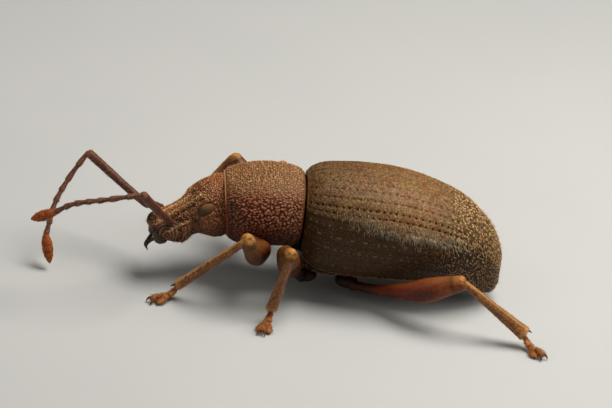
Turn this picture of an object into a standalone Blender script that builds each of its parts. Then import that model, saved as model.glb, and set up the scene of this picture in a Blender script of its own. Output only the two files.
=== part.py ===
"""A life-size still model of a red-legged Otiorhynchus weevil, standing on its six feet.

The head points along -X and turns a little towards -Y, +Z is up and the floor is at z = 0.
Sizes are in millimetres until a mesh is stored, which MM turns into metres.
"""

import math

import bmesh
import bpy
from mathutils import Matrix, Vector

MM = 0.001
CUT_TOLERANCE = 1e-8  # metres
WELD_DISTANCE = 1e-6  # metres
SHARP_ANGLE = math.radians(40)
COLLECTION_NAME = "otiorhynchus_weevil"
GAP = 0.15  # between solids that meet; a limb is only about 0.5 thick, so a wider one would part it

# Trunk stations: x, half width, top, bottom. The waist between the pronotum and the elytra is at x = 0.
PRONOTUM_STATIONS = (
    (-2.78, 1.10, 3.76, 1.62),
    (-2.62, 1.22, 3.87, 1.52),
    (-2.20, 1.44, 4.00, 1.42),
    (-1.75, 1.56, 4.10, 1.40),
    (-1.30, 1.60, 4.15, 1.45),
    (-0.85, 1.56, 4.16, 1.50),
    (-0.45, 1.46, 4.13, 1.50),
    (-0.20, 1.37, 4.06, 1.50),
    (-GAP / 2, 1.28, 3.97, 1.56),
)
# Hind body stations: x, half width, top, bottom, and the level of the elytra's lower margin.
HIND_STATIONS = (
    (GAP / 2, 1.30, 4.08, 0.70, 1.74),
    (0.22, 1.50, 4.22, 0.62, 1.52),
    (0.55, 1.72, 4.34, 0.57, 1.33),
    (1.10, 1.86, 4.41, 0.56, 1.21),
    (2.00, 1.97, 4.44, 0.60, 1.14),
    (3.00, 2.01, 4.37, 0.66, 1.14),
    (4.00, 1.94, 4.15, 0.72, 1.12),
    (5.00, 1.71, 3.80, 0.70, 1.02),
    (5.60, 1.46, 3.50, 0.60, 0.86),
    (6.10, 1.16, 3.10, 0.42, 0.62),
    (6.50, 0.86, 2.66, 0.30, 0.36),
    (6.76, 0.57, 2.20, 0.34, 0.36),
    (6.93, 0.22, 1.74, 0.62, 0.64),
)
FULL_HALF_WIDTH = 1.97  # where the striae reach their full depth
MARGIN_GAP = 1.5 * GAP  # measured straight down, where the flank slopes
ABDOMEN_END_X = 6.10
CHEST_END_X = 1.95  # where the metathorax ends and the abdomen begins, on the underside
TRUNK_POWER = 2.2  # superellipse power of the upper half of every trunk section
BELLY_POWER = 2.0
LOWEST_SHARE = 0.999  # of a trunk section's half height, so that its lower margin keeps two sides

STRIAE_PER_SIDE = 10
MARGIN_INTERVAL = 0.6  # width of the strip below the last stria, as a share of an interval
STRIA_DEPTH = 0.075
BRIDGE_DEPTH = 0.45  # of a stria between two punctures, as a share of a puncture's
STRIA_HALF_WIDTH = 0.016  # as a share of the way from the suture to the margin
ELYTRA_STEP = 0.20  # a puncture and the bridge after it take two steps
PRONOTUM_STEP = 0.17
PRONOTUM_SIDES = 42
GRANULE_HEIGHT = 0.06
GRANULE_LEVEL = 2.1  # the granules cover the pronotum down to here
SLANT = 0.14  # how far the front edge of the pronotum slopes back for each unit down
SLANT_END = -1.20
SMOOTH_RIM = 0.28  # bare width at the front and rear edge of the pronotum
UNDERSIDE_STEP = 0.45
UNDERSIDE_SIDES = 12
STERNITE_EDGES = (2.95, 4.05, 4.70, 5.30)  # grooves between the five plates of the belly
STERNITE_DEPTH = 0.05
STERNITE_HALF_WIDTH = 0.06

# The head's own axes start at the neck: s forwards, u to the animal's left (towards -Y), v up.
NECK = Vector((-2.98, -0.03, 2.66))
HEAD_PITCH = math.radians(21)
HEAD_YAW = math.radians(17)
# Head stations: s, half width, top, bottom
HEAD_STATIONS = (
    (-0.60, 0.86, 0.94, -1.04),
    (-0.40, 0.88, 0.94, -1.06),
    (0.15, 0.92, 0.92, -1.06),
    (0.42, 0.92, 0.84, -0.96),
    (0.62, 0.87, 0.72, -0.80),
    (0.82, 0.75, 0.62, -0.66),
    (1.02, 0.64, 0.56, -0.64),
    (1.26, 0.59, 0.52, -0.70),
    (1.50, 0.60, 0.49, -0.77),
    (1.76, 0.68, 0.46, -0.75),
    (1.98, 0.72, 0.42, -0.68),
    (2.18, 0.70, 0.36, -0.56),
    (2.40, 0.60, 0.25, -0.40),
)
HEAD_POWER = 2.5
HEAD_TAPER = 0.24  # how much narrower the head is at its top than halfway up
HEAD_STEP = 0.16
HEAD_SIDES = 28
ROSTRUM_START_S = 0.98
EYE_PLACE = (0.46, 0.68, 0.38)  # s, u on the left side, v
EYE_RADII = (0.28, 0.16, 0.19)
SOCKET_CLEARANCE = 0.12
BALL_MESH = (14, 8)  # segments and rings of an eye, a socket or a jaw
SCROBE_PLACE = (1.70, 0.60, 0.28)  # the hollow that holds the root of the scape
SCROBE_RADII = (0.34, 0.24, 0.16)
MOUTH_PLACE = (2.13, 0.0, -0.09)  # a point of the sloping face that ends the rostrum
MOUTH_SLOPE = math.radians(40)
MANDIBLE_PLACE = (2.12, 0.25, -0.26)
MANDIBLE_RADII = (0.28, 0.26, 0.29)
# The hook that each jaw of a young adult carries: s, u and v from the jaw's centre
FANG_ROUTE = ((0.12, -0.08, -0.04), (0.36, -0.13, -0.13), (0.56, -0.15, -0.28), (0.53, -0.16, -0.48))
FANG_RADII = (0.12, 0.10, 0.07, 0.02)

# Antennae: the scape's root from its hollow, the radii, and the places of the shoulder, the elbow, two bends
# of the funicle, the club's root and the club's tip
SCAPE_ROOT_STEP = (0.0, 0.10, 0.06)
SCAPE_RADII = (0.20, 0.22, 0.24, 0.26)
SCAPE_BEND = 0.6  # share of the way from the root to the shoulder
SCAPE_SPAN = 3  # rings from one knot to the next
FUNICLE_RADIUS = 0.20
FUNICLE_JOINTS = 7
FUNICLE_SPAN = 12  # points from one knot to the next, before the joints are set out
FUNICLE_SWELLING = (0.86, 1.0, 1.08)  # radii along each joint, as shares
ANTENNA_SIDES = 8
CLUB_SHARES = (-0.06, 0.22, 0.5, 0.8, 1.0)
CLUB_RADII = (0.17, 0.24, 0.25, 0.17, 0.05)
ANTENNA_KNOTS = {
    "left": (
        (-4.90, -1.74, 3.02),
        (-5.65, -2.80, 4.22),
        (-6.89, -3.00, 4.01),
        (-7.91, -3.00, 3.75),
        (-8.54, -3.00, 3.36),
        (-9.28, -3.00, 3.03),
    ),
    "right": (
        (-5.39, 0.70, 2.15),
        (-7.32, 1.50, 3.36),
        (-7.86, 0.98, 2.66),
        (-8.30, 0.35, 1.93),
        (-8.53, -0.42, 1.05),
        (-8.31, -0.90, 0.27),
    ),
}

# Legs: the hip, the thick of the femur, the knee, the ankle, and the foot's heading on the floor
LEGS = {
    "front_left": (
        (-1.42, -0.62, 1.26),
        (-1.57, -2.05, 2.08),
        (-1.95, -2.62, 2.76),
        (-4.04, -2.03, 0.48),
        (-0.85, -0.52, 0),
    ),
    "mid_left": (
        (0.34, -0.76, 0.70),
        (-0.50, -2.35, 2.00),
        (-0.46, -3.10, 2.60),
        (-0.90, -3.12, 0.48),
        (-0.30, -0.95, 0),
    ),
    "hind_left": (
        (1.72, -0.86, 0.62),
        (4.12, -2.48, 1.38),
        (5.45, -2.80, 1.98),
        (7.70, -3.25, 0.48),
        (0.60, -0.80, 0),
    ),
    "front_right": (
        (-1.42, 0.62, 1.26),
        (-1.66, 2.08, 1.95),
        (-2.30, 2.91, 2.93),
        (-3.85, 2.90, 0.48),
        (-0.86, 0.51, 0),
    ),
    "mid_right": (
        (0.34, 0.76, 0.70),
        (-0.24, 2.40, 1.64),
        (-0.62, 3.30, 2.62),
        (-0.95, 3.60, 0.48),
        (-0.30, 0.95, 0),
    ),
    "hind_right": (
        (1.72, 0.86, 0.62),
        (3.10, 2.30, 1.22),
        (4.05, 2.72, 2.20),
        (5.75, 3.05, 0.48),
        (0.55, 0.84, 0),
    ),
}
COXA_RADIUS = {"front": 0.38, "mid": 0.34, "hind": 0.36}
COXA_LENGTH = 1.15  # along the body, as a share of its radius
COXA_DROP = {"front": 0.40, "mid": 0.35, "hind": 0.35}  # from the trunk to the coxa's centre
COXA_MESH = (14, 10)  # segments and rings
COXA_REACH = 0.72  # from the coxa's centre to the joint with the femur
FEMUR_RADII = {
    "front": (0.24, 0.25, 0.47, 0.34, 0.30),
    "mid": (0.24, 0.25, 0.40, 0.32, 0.29),
    "hind": (0.24, 0.25, 0.40, 0.33, 0.30),
}
FEMUR_BEFORE = 0.45  # share of the way from the hip joint to the thick
FEMUR_BOW = {"front": 0.15, "mid": 0.10, "hind": 0.16}  # how far the narrow root bends away from the trunk
FEMUR_AFTER = 0.62  # share of the way from the thick to the knee
JOINT_OVERLAP = 0.16  # how far a limb runs on past its joint before the joint's cut
TIBIA_RADII = {
    "front": (0.26, 0.24, 0.25, 0.26),
    "mid": (0.25, 0.24, 0.26, 0.28),
    "hind": (0.26, 0.24, 0.27, 0.30),
}
TIBIA_BENDS = (0.3, 0.7)  # shares of the way from the knee to the ankle
LIMB_SPAN = 2  # rings from one knot of a limb to the next
LIMB_SIDES = 12
RING_REFERENCE = Vector((0.1, 0.2, 1.0))  # no limb starts out along this direction
FOOT_LENGTH = 1.10
FOOT_SIDES = 6
FOOT_LOBE_RADII = (0.20, 0.16, 0.18)
LOBE_MESH = (8, 6)  # segments and rings
# Foot stations: share of the foot's length, height, and step to the side, with a radius for each
FOOT_WEDGE = ((0.09, 0.28, 0.0), (0.30, 0.20, 0.0))
FOOT_WEDGE_RADII = (0.19, 0.20, 0.25)
FOOT_SECOND = ((0.26, 0.19, 0.0), (0.50, 0.18, 0.0))
FOOT_SECOND_RADII = (0.19, 0.26)
FOOT_LOBE = (0.60, 0.13, 0.15)
FOOT_LAST = ((0.52, 0.20, 0.0), (0.72, 0.26, 0.0), (0.90, 0.23, 0.0))
FOOT_LAST_RADII = (0.11, 0.13, 0.16)
FOOT_CLAW = ((0.84, 0.22, 0.05), (0.93, 0.18, 0.13), (1.0, 0.03, 0.15))
FOOT_CLAW_RADII = (0.10, 0.08, 0.03)

# Colours, linear, with roughness
FINISHES = {
    "shell": ((0.050, 0.030, 0.016), 0.42),
    "thorax": ((0.085, 0.030, 0.016), 0.45),
    "head": ((0.090, 0.040, 0.025), 0.48),
    "eye": ((0.012, 0.012, 0.012), 0.25),
    "mandible": ((0.020, 0.012, 0.008), 0.30),
    "antenna": ((0.110, 0.050, 0.035), 0.50),
    "club": ((0.250, 0.075, 0.025), 0.60),
    "femur": ((0.260, 0.050, 0.018), 0.30),
    "tibia": ((0.200, 0.080, 0.045), 0.50),
    "tarsus": ((0.220, 0.085, 0.035), 0.55),
}


def clear_scene():
    for thing in list(bpy.data.objects):
        bpy.data.objects.remove(thing)


def part_collection():
    collection = bpy.data.collections.get(COLLECTION_NAME)
    if collection is None:
        collection = bpy.data.collections.new(COLLECTION_NAME)
        bpy.context.scene.collection.children.link(collection)
    return collection


def finish_material(node, finish):
    colour, roughness = FINISHES[finish]
    material = bpy.data.materials.new(node)
    material.use_nodes = True
    shader = material.node_tree.nodes["Principled BSDF"]
    shader.inputs["Base Color"].default_value = (*colour, 1.0)
    shader.inputs["Roughness"].default_value = roughness
    shader.inputs["Metallic"].default_value = 0.0
    return material


def mesh_object(name, mesh):
    thing = bpy.data.objects.new(name, mesh)
    part_collection().objects.link(thing)
    return thing


def interpolate(table, x):
    """The row of a station table at x, smooth through the rows by a cubic with flat-limited slopes."""
    rows = [Vector(row) for row in table]
    last = len(rows) - 1
    x = min(max(x, rows[0][0]), rows[last][0])
    i = min(sum(1 for row in rows if row[0] <= x), last) - 1
    before, start, end, after = rows[max(i - 1, 0)], rows[i], rows[i + 1], rows[min(i + 2, last)]
    span = end[0] - start[0]
    t = (x - start[0]) / span
    slope_in = (end - before) * (span / max(end[0] - before[0], span))
    slope_out = (after - start) * (span / max(after[0] - start[0], span))
    blend = (2 * t**3 - 3 * t**2 + 1, t**3 - 2 * t**2 + t, 3 * t**2 - 2 * t**3, t**3 - t**2)
    return start * blend[0] + slope_in * blend[1] + end * blend[2] + slope_out * blend[3]


def spaced(start, end, step):
    count = max(1, round((end - start) / step))
    return [start + (end - start) * i / count for i in range(count + 1)]


def loft(name, rings):
    """A closed mesh through rings of equal count, with a fan over each end."""
    build = bmesh.new()
    rows = [[build.verts.new(point * MM) for point in ring] for ring in rings]
    count = len(rings[0])
    for row, following in zip(rows, rows[1:]):
        for i in range(count):
            j = (i + 1) % count
            build.faces.new((row[i], row[j], following[j], following[i]))
    for row, ring in ((rows[0], rings[0]), (rows[-1], rings[-1])):
        hub = build.verts.new(sum(ring, Vector()) / count * MM)
        for i in range(count):
            build.faces.new((row[i], row[(i + 1) % count], hub))
    bmesh.ops.recalc_face_normals(build, faces=build.faces)
    return finished_mesh(name, build)


def finished_mesh(name, build):
    """Stores a bmesh of one closed surface as an object, with its faces pointing out."""
    if build.calc_volume(signed=True) < 0:
        bmesh.ops.reverse_faces(build, faces=build.faces)
    mesh = bpy.data.meshes.new(name)
    build.to_mesh(mesh)
    build.free()
    return mesh_object(name, mesh)


def superellipse(angle, half_width, half_height, power):
    cosine, sine = math.cos(angle), math.sin(angle)
    across = half_width * math.copysign(abs(cosine) ** (2 / power), cosine)
    up = half_height * math.copysign(abs(sine) ** (2 / power), sine)
    return across, up


def trunk_point(row, angle, lift=0.0):
    """A point of the trunk section in one station row, raised along its normal by lift."""
    x, half_width, top, bottom = row[:4]
    centre, half_height = (top + bottom) / 2, (top - bottom) / 2
    power = TRUNK_POWER if math.sin(angle) > 0 else BELLY_POWER
    across, up = superellipse(angle, half_width, half_height, power)
    normal = Vector((0, across / half_width**2, up / half_height**2)).normalized()
    return Vector((x, across, centre + up)) + normal * lift


def margin_angle(row, level):
    """The angle below the horizontal at which a trunk section passes a level."""
    centre, half_height = (row[2] + row[3]) / 2, (row[2] - row[3]) / 2
    share = min(max((centre - level) / half_height, 0.0), LOWEST_SHARE)
    return math.asin(share ** (BELLY_POWER / 2))


def pronotum():
    front, rear = PRONOTUM_STATIONS[0][0], PRONOTUM_STATIONS[-1][0]
    rings = []
    for x in spaced(front, rear, PRONOTUM_STEP):
        row = interpolate(PRONOTUM_STATIONS, x)
        angles = [2 * math.pi * i / PRONOTUM_SIDES for i in range(PRONOTUM_SIDES)]
        rings.append([slanted(trunk_point(row, angle)) for angle in angles])
    return add_granules(loft("pronotum", rings), front + SMOOTH_RIM, rear - SMOOTH_RIM)


def slanted(point):
    """The pronotum is shorter below: its front edge slopes back, and the slope fades towards the rear."""
    fade = min(max((SLANT_END - point.x) / (SLANT_END - PRONOTUM_STATIONS[0][0]), 0.0), 1.0)
    return point + Vector((SLANT * fade * (PRONOTUM_STATIONS[0][2] - point.z), 0, 0))


def add_granules(thing, start, end):
    """Raises the middle of every face between two stations into a blunt point."""
    build = bmesh.new()
    build.from_mesh(thing.data)
    middles = [(face, face.calc_center_median() / MM) for face in build.faces]
    chosen = [face for face, middle in middles if start < middle.x < end and middle.z > GRANULE_LEVEL]
    bmesh.ops.poke(build, faces=chosen, offset=GRANULE_HEIGHT * MM)
    build.to_mesh(thing.data)
    build.free()
    return thing


def elytra_ring(row, puncture):
    """Half-open section of the fused wing cases, with a groove at the suture and at every stria."""
    reach = math.pi / 2 + margin_angle(row, row[4])
    small = min(1.0, row[1] / FULL_HALF_WIDTH)
    depth = STRIA_DEPTH * small * (1.0 if puncture else BRIDGE_DEPTH)
    shares = []
    for k in range(STRIAE_PER_SIDE + 1):
        middle = k / (STRIAE_PER_SIDE + MARGIN_INTERVAL)
        shares += [(middle - STRIA_HALF_WIDTH, 0.0), (middle, -depth), (middle + STRIA_HALF_WIDTH, 0.0)]
    shares = [(0.0, -depth / 2)] + shares[2:] + [(1.0, 0.0)]
    right = [trunk_point(row, math.pi / 2 - share * reach, lift) for share, lift in shares]
    left = [Vector((p.x, -p.y, p.z)) for p in reversed(right[1:])]
    return left + right


def elytra():
    stations = spaced(HIND_STATIONS[0][0], HIND_STATIONS[-1][0], ELYTRA_STEP)
    rings = [elytra_ring(interpolate(HIND_STATIONS, x), i % 2 == 1) for i, x in enumerate(stations)]
    return loft("elytra", rings)


def underside_ring(x, lift):
    row = interpolate(HIND_STATIONS, x)
    start = margin_angle(row, row[4] - MARGIN_GAP)
    angles = [-start - (math.pi - 2 * start) * i / UNDERSIDE_SIDES for i in range(UNDERSIDE_SIDES + 1)]
    return [trunk_point(row, angle, 0.0 if angle in (angles[0], angles[-1]) else lift) for angle in angles]


def underside(name, start, end):
    """The body below the wing cases from one station to another, grooved where its plates meet."""
    edges = [x for x in STERNITE_EDGES if start < x < end]
    levels = {}
    for x in spaced(start, end, UNDERSIDE_STEP):
        if all(abs(x - edge) > STERNITE_HALF_WIDTH * 2 for edge in edges):
            levels[x] = 0.0
    for edge in edges:
        levels[edge - STERNITE_HALF_WIDTH] = 0.0
        levels[edge] = -STERNITE_DEPTH
        levels[edge + STERNITE_HALF_WIDTH] = 0.0
    return loft(name, [underside_ring(x, levels[x]) for x in sorted(levels)])


def head_matrix():
    level = math.cos(HEAD_PITCH)
    forward = Vector((-math.cos(HEAD_YAW) * level, -math.sin(HEAD_YAW) * level, -math.sin(HEAD_PITCH)))
    left = Vector((0, 0, 1)).cross(forward).normalized()
    up = forward.cross(left)
    return Matrix((forward, left, up)).transposed()


def head_place(s, u, v):
    return NECK + head_matrix() @ Vector((s, u, v))


def head_direction(s, u, v):
    return head_matrix() @ Vector((s, u, v))


def head_loft(name, start, end):
    rings = []
    for s in spaced(start, end, HEAD_STEP):
        _, half_width, top, bottom = interpolate(HEAD_STATIONS, s)
        centre, half_height = (top + bottom) / 2, (top - bottom) / 2
        ring = []
        for i in range(HEAD_SIDES):
            angle = 2 * math.pi * i / HEAD_SIDES
            across, up = superellipse(angle, half_width, half_height, HEAD_POWER)
            narrowing = 1 - HEAD_TAPER * max(up / half_height, 0.0)
            ring.append(head_place(s, across * narrowing, centre + up))
        rings.append(ring)
    return loft(name, rings)


def ellipsoid(name, centre, radii, axes, segments=BALL_MESH[0], rings=BALL_MESH[1]):
    """A sphere primitive stretched to three radii along the columns of axes."""
    build = bmesh.new()
    bmesh.ops.create_uvsphere(build, u_segments=segments, v_segments=rings, radius=1.0)
    for vert in build.verts:
        local = Vector(a * b for a, b in zip(vert.co, radii))
        vert.co = (centre + axes @ local) * MM
    return finished_mesh(name, build)


def cut(thing, point, normal):
    """Cuts away all of a closed mesh that lies on the normal's side of a plane, and closes the cut."""
    build = bmesh.new()
    build.from_mesh(thing.data)
    everything = build.verts[:] + build.edges[:] + build.faces[:]
    plane = {"plane_co": point * MM, "plane_no": normal}
    bmesh.ops.bisect_plane(build, geom=everything, dist=CUT_TOLERANCE, clear_outer=True, **plane)
    rim = [edge for edge in build.edges if edge.is_boundary]
    if rim:
        bmesh.ops.holes_fill(build, edges=rim, sides=0)
    bmesh.ops.recalc_face_normals(build, faces=build.faces)
    if build.calc_volume(signed=True) < 0:
        bmesh.ops.reverse_faces(build, faces=build.faces)
    build.to_mesh(thing.data)
    build.free()
    return thing


def combine(name, things, operation="UNION"):
    """One Boolean of the first object with the others, applied, keeping the largest closed surface."""
    base, others = things[0], things[1:]
    tools = bpy.data.collections.new(name + "_tools")
    bpy.context.scene.collection.children.link(tools)
    for other in others:
        tools.objects.link(other)
    modifier = base.modifiers.new("join", "BOOLEAN")
    modifier.operation = operation
    modifier.operand_type = "COLLECTION"
    modifier.collection = tools
    modifier.solver = "EXACT"
    bpy.context.view_layer.update()
    evaluated = base.evaluated_get(bpy.context.evaluated_depsgraph_get())
    mesh = bpy.data.meshes.new_from_object(evaluated)
    for thing in things:
        bpy.data.objects.remove(thing)
    bpy.data.collections.remove(tools)
    result = mesh_object(name, mesh)
    keep_largest(result)
    return result


def keep_largest(thing):
    build = bmesh.new()
    build.from_mesh(thing.data)
    bmesh.ops.remove_doubles(build, verts=build.verts, dist=WELD_DISTANCE)
    remaining = set(build.verts)
    islands = []
    while remaining:
        stack = [remaining.pop()]
        island = set(stack)
        while stack:
            for edge in stack.pop().link_edges:
                for vert in edge.verts:
                    if vert in remaining:
                        remaining.remove(vert)
                        island.add(vert)
                        stack.append(vert)
        islands.append(island)
    largest = max(islands, key=len)
    loose = [vert for vert in build.verts if vert not in largest]
    bmesh.ops.delete(build, geom=loose, context="VERTS")
    build.to_mesh(thing.data)
    build.free()


def catmull(points, per_span):
    """Smooth points through the given ones, each with its radius as a fourth value."""
    knots = [Vector(p) for p in points]
    knots = [knots[0] * 2 - knots[1]] + knots + [knots[-1] * 2 - knots[-2]]
    result = []
    for a, b, c, d in zip(knots, knots[1:], knots[2:], knots[3:]):
        for i in range(per_span):
            t = i / per_span
            bend = (a * 2 - b * 5 + c * 4 - d) * t**2 + (b * 3 - a - c * 3 + d) * t**3
            result.append(b + ((c - a) * t + bend) / 2)
    result.append(knots[-2])
    return result


def tube(name, points, radii, per_span=LIMB_SPAN, sides=LIMB_SIDES):
    """A round limb through points, with its ring turned smoothly along the path."""
    path = catmull([(*point, radius) for point, radius in zip(points, radii)], per_span)
    centres = [Vector(p[:3]) for p in path]
    side = None
    rings = []
    for i, centre in enumerate(centres):
        along = (centres[min(i + 1, len(centres) - 1)] - centres[max(i - 1, 0)]).normalized()
        if side is None:
            side = along.cross(RING_REFERENCE).normalized()
        side = (side - along * side.dot(along)).normalized()
        up = along.cross(side)
        radius = path[i][3]
        turns = [2 * math.pi * k / sides for k in range(sides)]
        rings.append([centre + (side * math.cos(a) + up * math.sin(a)) * radius for a in turns])
    return loft(name, rings)


def part_at(first, second, point, into_first, into_second):
    """Parts two limbs at a joint by a thin cut across the middle of its bend."""
    normal = (into_second - into_first).normalized()
    cut(first, point + normal * (GAP / 2) * -1, normal)
    cut(second, point + normal * (GAP / 2), -normal)


def eyes():
    made = []
    s, u, v = EYE_PLACE
    for side, sign in (("left", 1), ("right", -1)):
        made.append(ellipsoid("eye_" + side, head_place(s, u * sign, v), EYE_RADII, head_matrix()))
    return made


def head():
    skull = head_loft("skull", HEAD_STATIONS[0][0], ROSTRUM_START_S)
    s, u, v = EYE_PLACE
    radii = tuple(r + SOCKET_CLEARANCE for r in EYE_RADII)
    sockets = [ellipsoid("socket", head_place(s, u * sign, v), radii, head_matrix()) for sign in (1, -1)]
    whole = combine("head", [skull] + sockets, "DIFFERENCE")
    slope = Vector((1, 0, SLANT)).normalized()
    rim = Vector((PRONOTUM_STATIONS[0][0], 0, PRONOTUM_STATIONS[0][2]))
    return cut(whole, rim - slope * GAP, slope)


def rostrum():
    snout = head_loft("snout", ROSTRUM_START_S + GAP, HEAD_STATIONS[-1][0])
    s, u, v = SCROBE_PLACE
    places = [head_place(s, u * sign, v) for sign in (1, -1)]
    pits = [ellipsoid("scrobe", place, SCROBE_RADII, head_matrix()) for place in places]
    whole = combine("rostrum", [snout] + pits, "DIFFERENCE")
    return cut(whole, head_place(*MOUTH_PLACE), mouth_normal())


def mouth_normal():
    return head_direction(math.cos(MOUTH_SLOPE), 0, -math.sin(MOUTH_SLOPE))


def mandibles():
    """Two jaws on the rostrum's sloping end, each with its hook, parted by the line of the mouth."""
    made = []
    centre = Vector(MANDIBLE_PLACE)
    forward = mouth_normal()
    face = head_place(*MOUTH_PLACE) + forward * GAP
    for side, sign in (("left", 1), ("right", -1)):
        mirror = Vector((1, sign, 1))
        jaw = ellipsoid("jaw", head_place(*(centre * mirror)), MANDIBLE_RADII, head_matrix())
        points = [head_place(*((centre + Vector(step)) * mirror)) for step in FANG_ROUTE]
        whole = combine("mandible_" + side, [jaw, tube("fang", points, FANG_RADII, sides=FOOT_SIDES)])
        cut(whole, face, -forward)
        cut(whole, head_place(0, GAP / 2 * sign, 0), head_direction(0, -sign, 0))
        made.append(whole)
    return made


def antenna(side):
    """Scape, funicle and club of one side, parted at the elbow and at the club's root."""
    sign = 1 if side == "left" else -1
    shoulder, elbow, *bends, wrist, tip = (Vector(p) for p in ANTENNA_KNOTS[side])
    s, u, v = Vector(SCROBE_PLACE) + Vector(SCAPE_ROOT_STEP)
    root = head_place(s, u * sign, v)
    reach = (elbow - shoulder).normalized()
    route = [root, root.lerp(shoulder, SCAPE_BEND), shoulder, elbow + reach * GAP]
    scape = tube("scape_" + side, route, SCAPE_RADII, SCAPE_SPAN)
    cut(scape, root + (shoulder - root).normalized() * GAP, root - shoulder)

    turn = (bends[0] - elbow).normalized()
    fold = (tip - wrist).normalized()
    funicle = funicle_tube("funicle_" + side, [elbow - turn * GAP / 2, *bends, wrist + fold * GAP / 2])
    knots = [wrist.lerp(tip, share) for share in CLUB_SHARES]
    club = tube("club_" + side, knots, CLUB_RADII, sides=ANTENNA_SIDES)
    part_at(scape, funicle, elbow, -reach, turn)
    part_at(funicle, club, wrist, (bends[-1] - wrist).normalized(), fold)
    return scape, funicle, club


def funicle_tube(name, knots):
    """Seven short joints along a curve, each swollen towards its far end."""
    line = catmull(knots, FUNICLE_SPAN)
    stages = len(FUNICLE_SWELLING)
    steps = FUNICLE_JOINTS * stages
    centres, radii = [], []
    for i in range(steps + 1):
        place = i / steps * (len(line) - 1)
        before = min(int(place), len(line) - 2)
        centres.append(line[before].lerp(line[before + 1], place - before))
        radii.append(FUNICLE_RADIUS * FUNICLE_SWELLING[i % stages])
    return tube(name, centres, radii, 1, ANTENNA_SIDES)


def belly_level(x, y):
    """Height of the underside at a place seen from below."""
    row = interpolate(PRONOTUM_STATIONS if x < 0 else HIND_STATIONS, x)
    centre, half_height = (row[2] + row[3]) / 2, (row[2] - row[3]) / 2
    return centre - half_height * math.sqrt(1 - (y / row[1]) ** 2)


def trunk_contact(hip):
    """The underside's point straight above or below a hip, with the surface normal there."""
    step = GAP / 2
    slope_x = (belly_level(hip.x + step, hip.y) - belly_level(hip.x - step, hip.y)) / (2 * step)
    slope_y = (belly_level(hip.x, hip.y + step) - belly_level(hip.x, hip.y - step)) / (2 * step)
    normal = Vector((slope_x, slope_y, -1)).normalized()
    return Vector((hip.x, hip.y, belly_level(hip.x, hip.y))), normal


def foot(name, ankle, heading, shin):
    """Five tarsal joints on the floor: two wedges, the two-lobed third, and a claw joint with two claws."""
    along = heading.normalized()
    across = Vector((0, 0, 1)).cross(along)

    def at(station, sign=1):
        share, height, side = station
        return Vector((ankle.x, ankle.y, height)) + along * (share * FOOT_LENGTH) + across * (side * sign)

    axes = Matrix((along, across, Vector((0, 0, 1)))).transposed()
    wedge = [ankle - shin * GAP] + [at(station) for station in FOOT_WEDGE]
    pieces = [tube("wedge", wedge, FOOT_WEDGE_RADII, sides=FOOT_SIDES)]
    second = [at(station) for station in FOOT_SECOND]
    pieces.append(tube("second", second, FOOT_SECOND_RADII, sides=FOOT_SIDES))
    for sign in (1, -1):
        pieces.append(ellipsoid("lobe", at(FOOT_LOBE, sign), FOOT_LOBE_RADII, axes, *LOBE_MESH))
        claw = [at(station, sign) for station in FOOT_CLAW]
        pieces.append(tube("claw", claw, FOOT_CLAW_RADII, 1, FOOT_SIDES))
    pieces.append(tube("last", [at(station) for station in FOOT_LAST], FOOT_LAST_RADII, 1, FOOT_SIDES))
    whole = combine(name, pieces)
    return cut(whole, Vector((0, 0, 0)), Vector((0, 0, -1)))


def leg(place):
    kind = place.split("_")[0]
    hip, thick, knee, ankle, heading = (Vector(p) for p in LEGS[place])
    out = (thick - hip).normalized()
    thigh = (knee - thick).normalized()
    shin = (ankle - knee).normalized()
    radius = COXA_RADIUS[kind]

    contact, normal = trunk_contact(hip)
    coxa_centre = contact + normal * (GAP + radius * COXA_DROP[kind])
    coxa_radii = (radius * COXA_LENGTH, radius, radius)
    coxa = ellipsoid("coxa_" + place, coxa_centre, coxa_radii, Matrix.Identity(3), *COXA_MESH)
    cut(coxa, contact + normal * GAP, -normal)

    joint = coxa_centre + out * radius * COXA_REACH
    before = joint.lerp(thick, FEMUR_BEFORE) + normal * FEMUR_BOW[kind]
    after = thick.lerp(knee, FEMUR_AFTER)
    route = [joint - out * JOINT_OVERLAP, before, thick, after, knee + thigh * JOINT_OVERLAP]
    femur = tube("femur_" + place, route, FEMUR_RADII[kind])
    cut(coxa, joint - out * GAP / 2, out)
    cut(femur, joint + out * GAP / 2, -out)

    bends = [knee.lerp(ankle, share) for share in TIBIA_BENDS]
    route = [knee - shin * JOINT_OVERLAP, *bends, ankle]
    tibia = tube("tibia_" + place, route, TIBIA_RADII[kind])
    part_at(femur, tibia, knee, -thigh, shin)

    tarsus = foot("tarsus_" + place, ankle, heading, shin)
    cut(tibia, ankle - shin * GAP / 2, shin)
    cut(tarsus, ankle + shin * GAP / 2, -shin)
    return coxa, femur, tibia, tarsus


def finish(thing, look):
    thing.data.materials.clear()
    thing.data.materials.append(finish_material(thing.name, look))
    thing.data.shade_smooth()
    thing.data.set_sharp_from_angle(angle=SHARP_ANGLE)


def centre_on_floor(things):
    """Moves every mesh so that the whole stands centred on the origin with its feet at z = 0."""
    points = [vert.co for thing in things for vert in thing.data.vertices]
    low = Vector(min(p[i] for p in points) for i in range(3))
    high = Vector(max(p[i] for p in points) for i in range(3))
    shift = -Vector(((low.x + high.x) / 2, (low.y + high.y) / 2, low.z))
    for thing in things:
        thing.data.transform(Matrix.Translation(shift))


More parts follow.
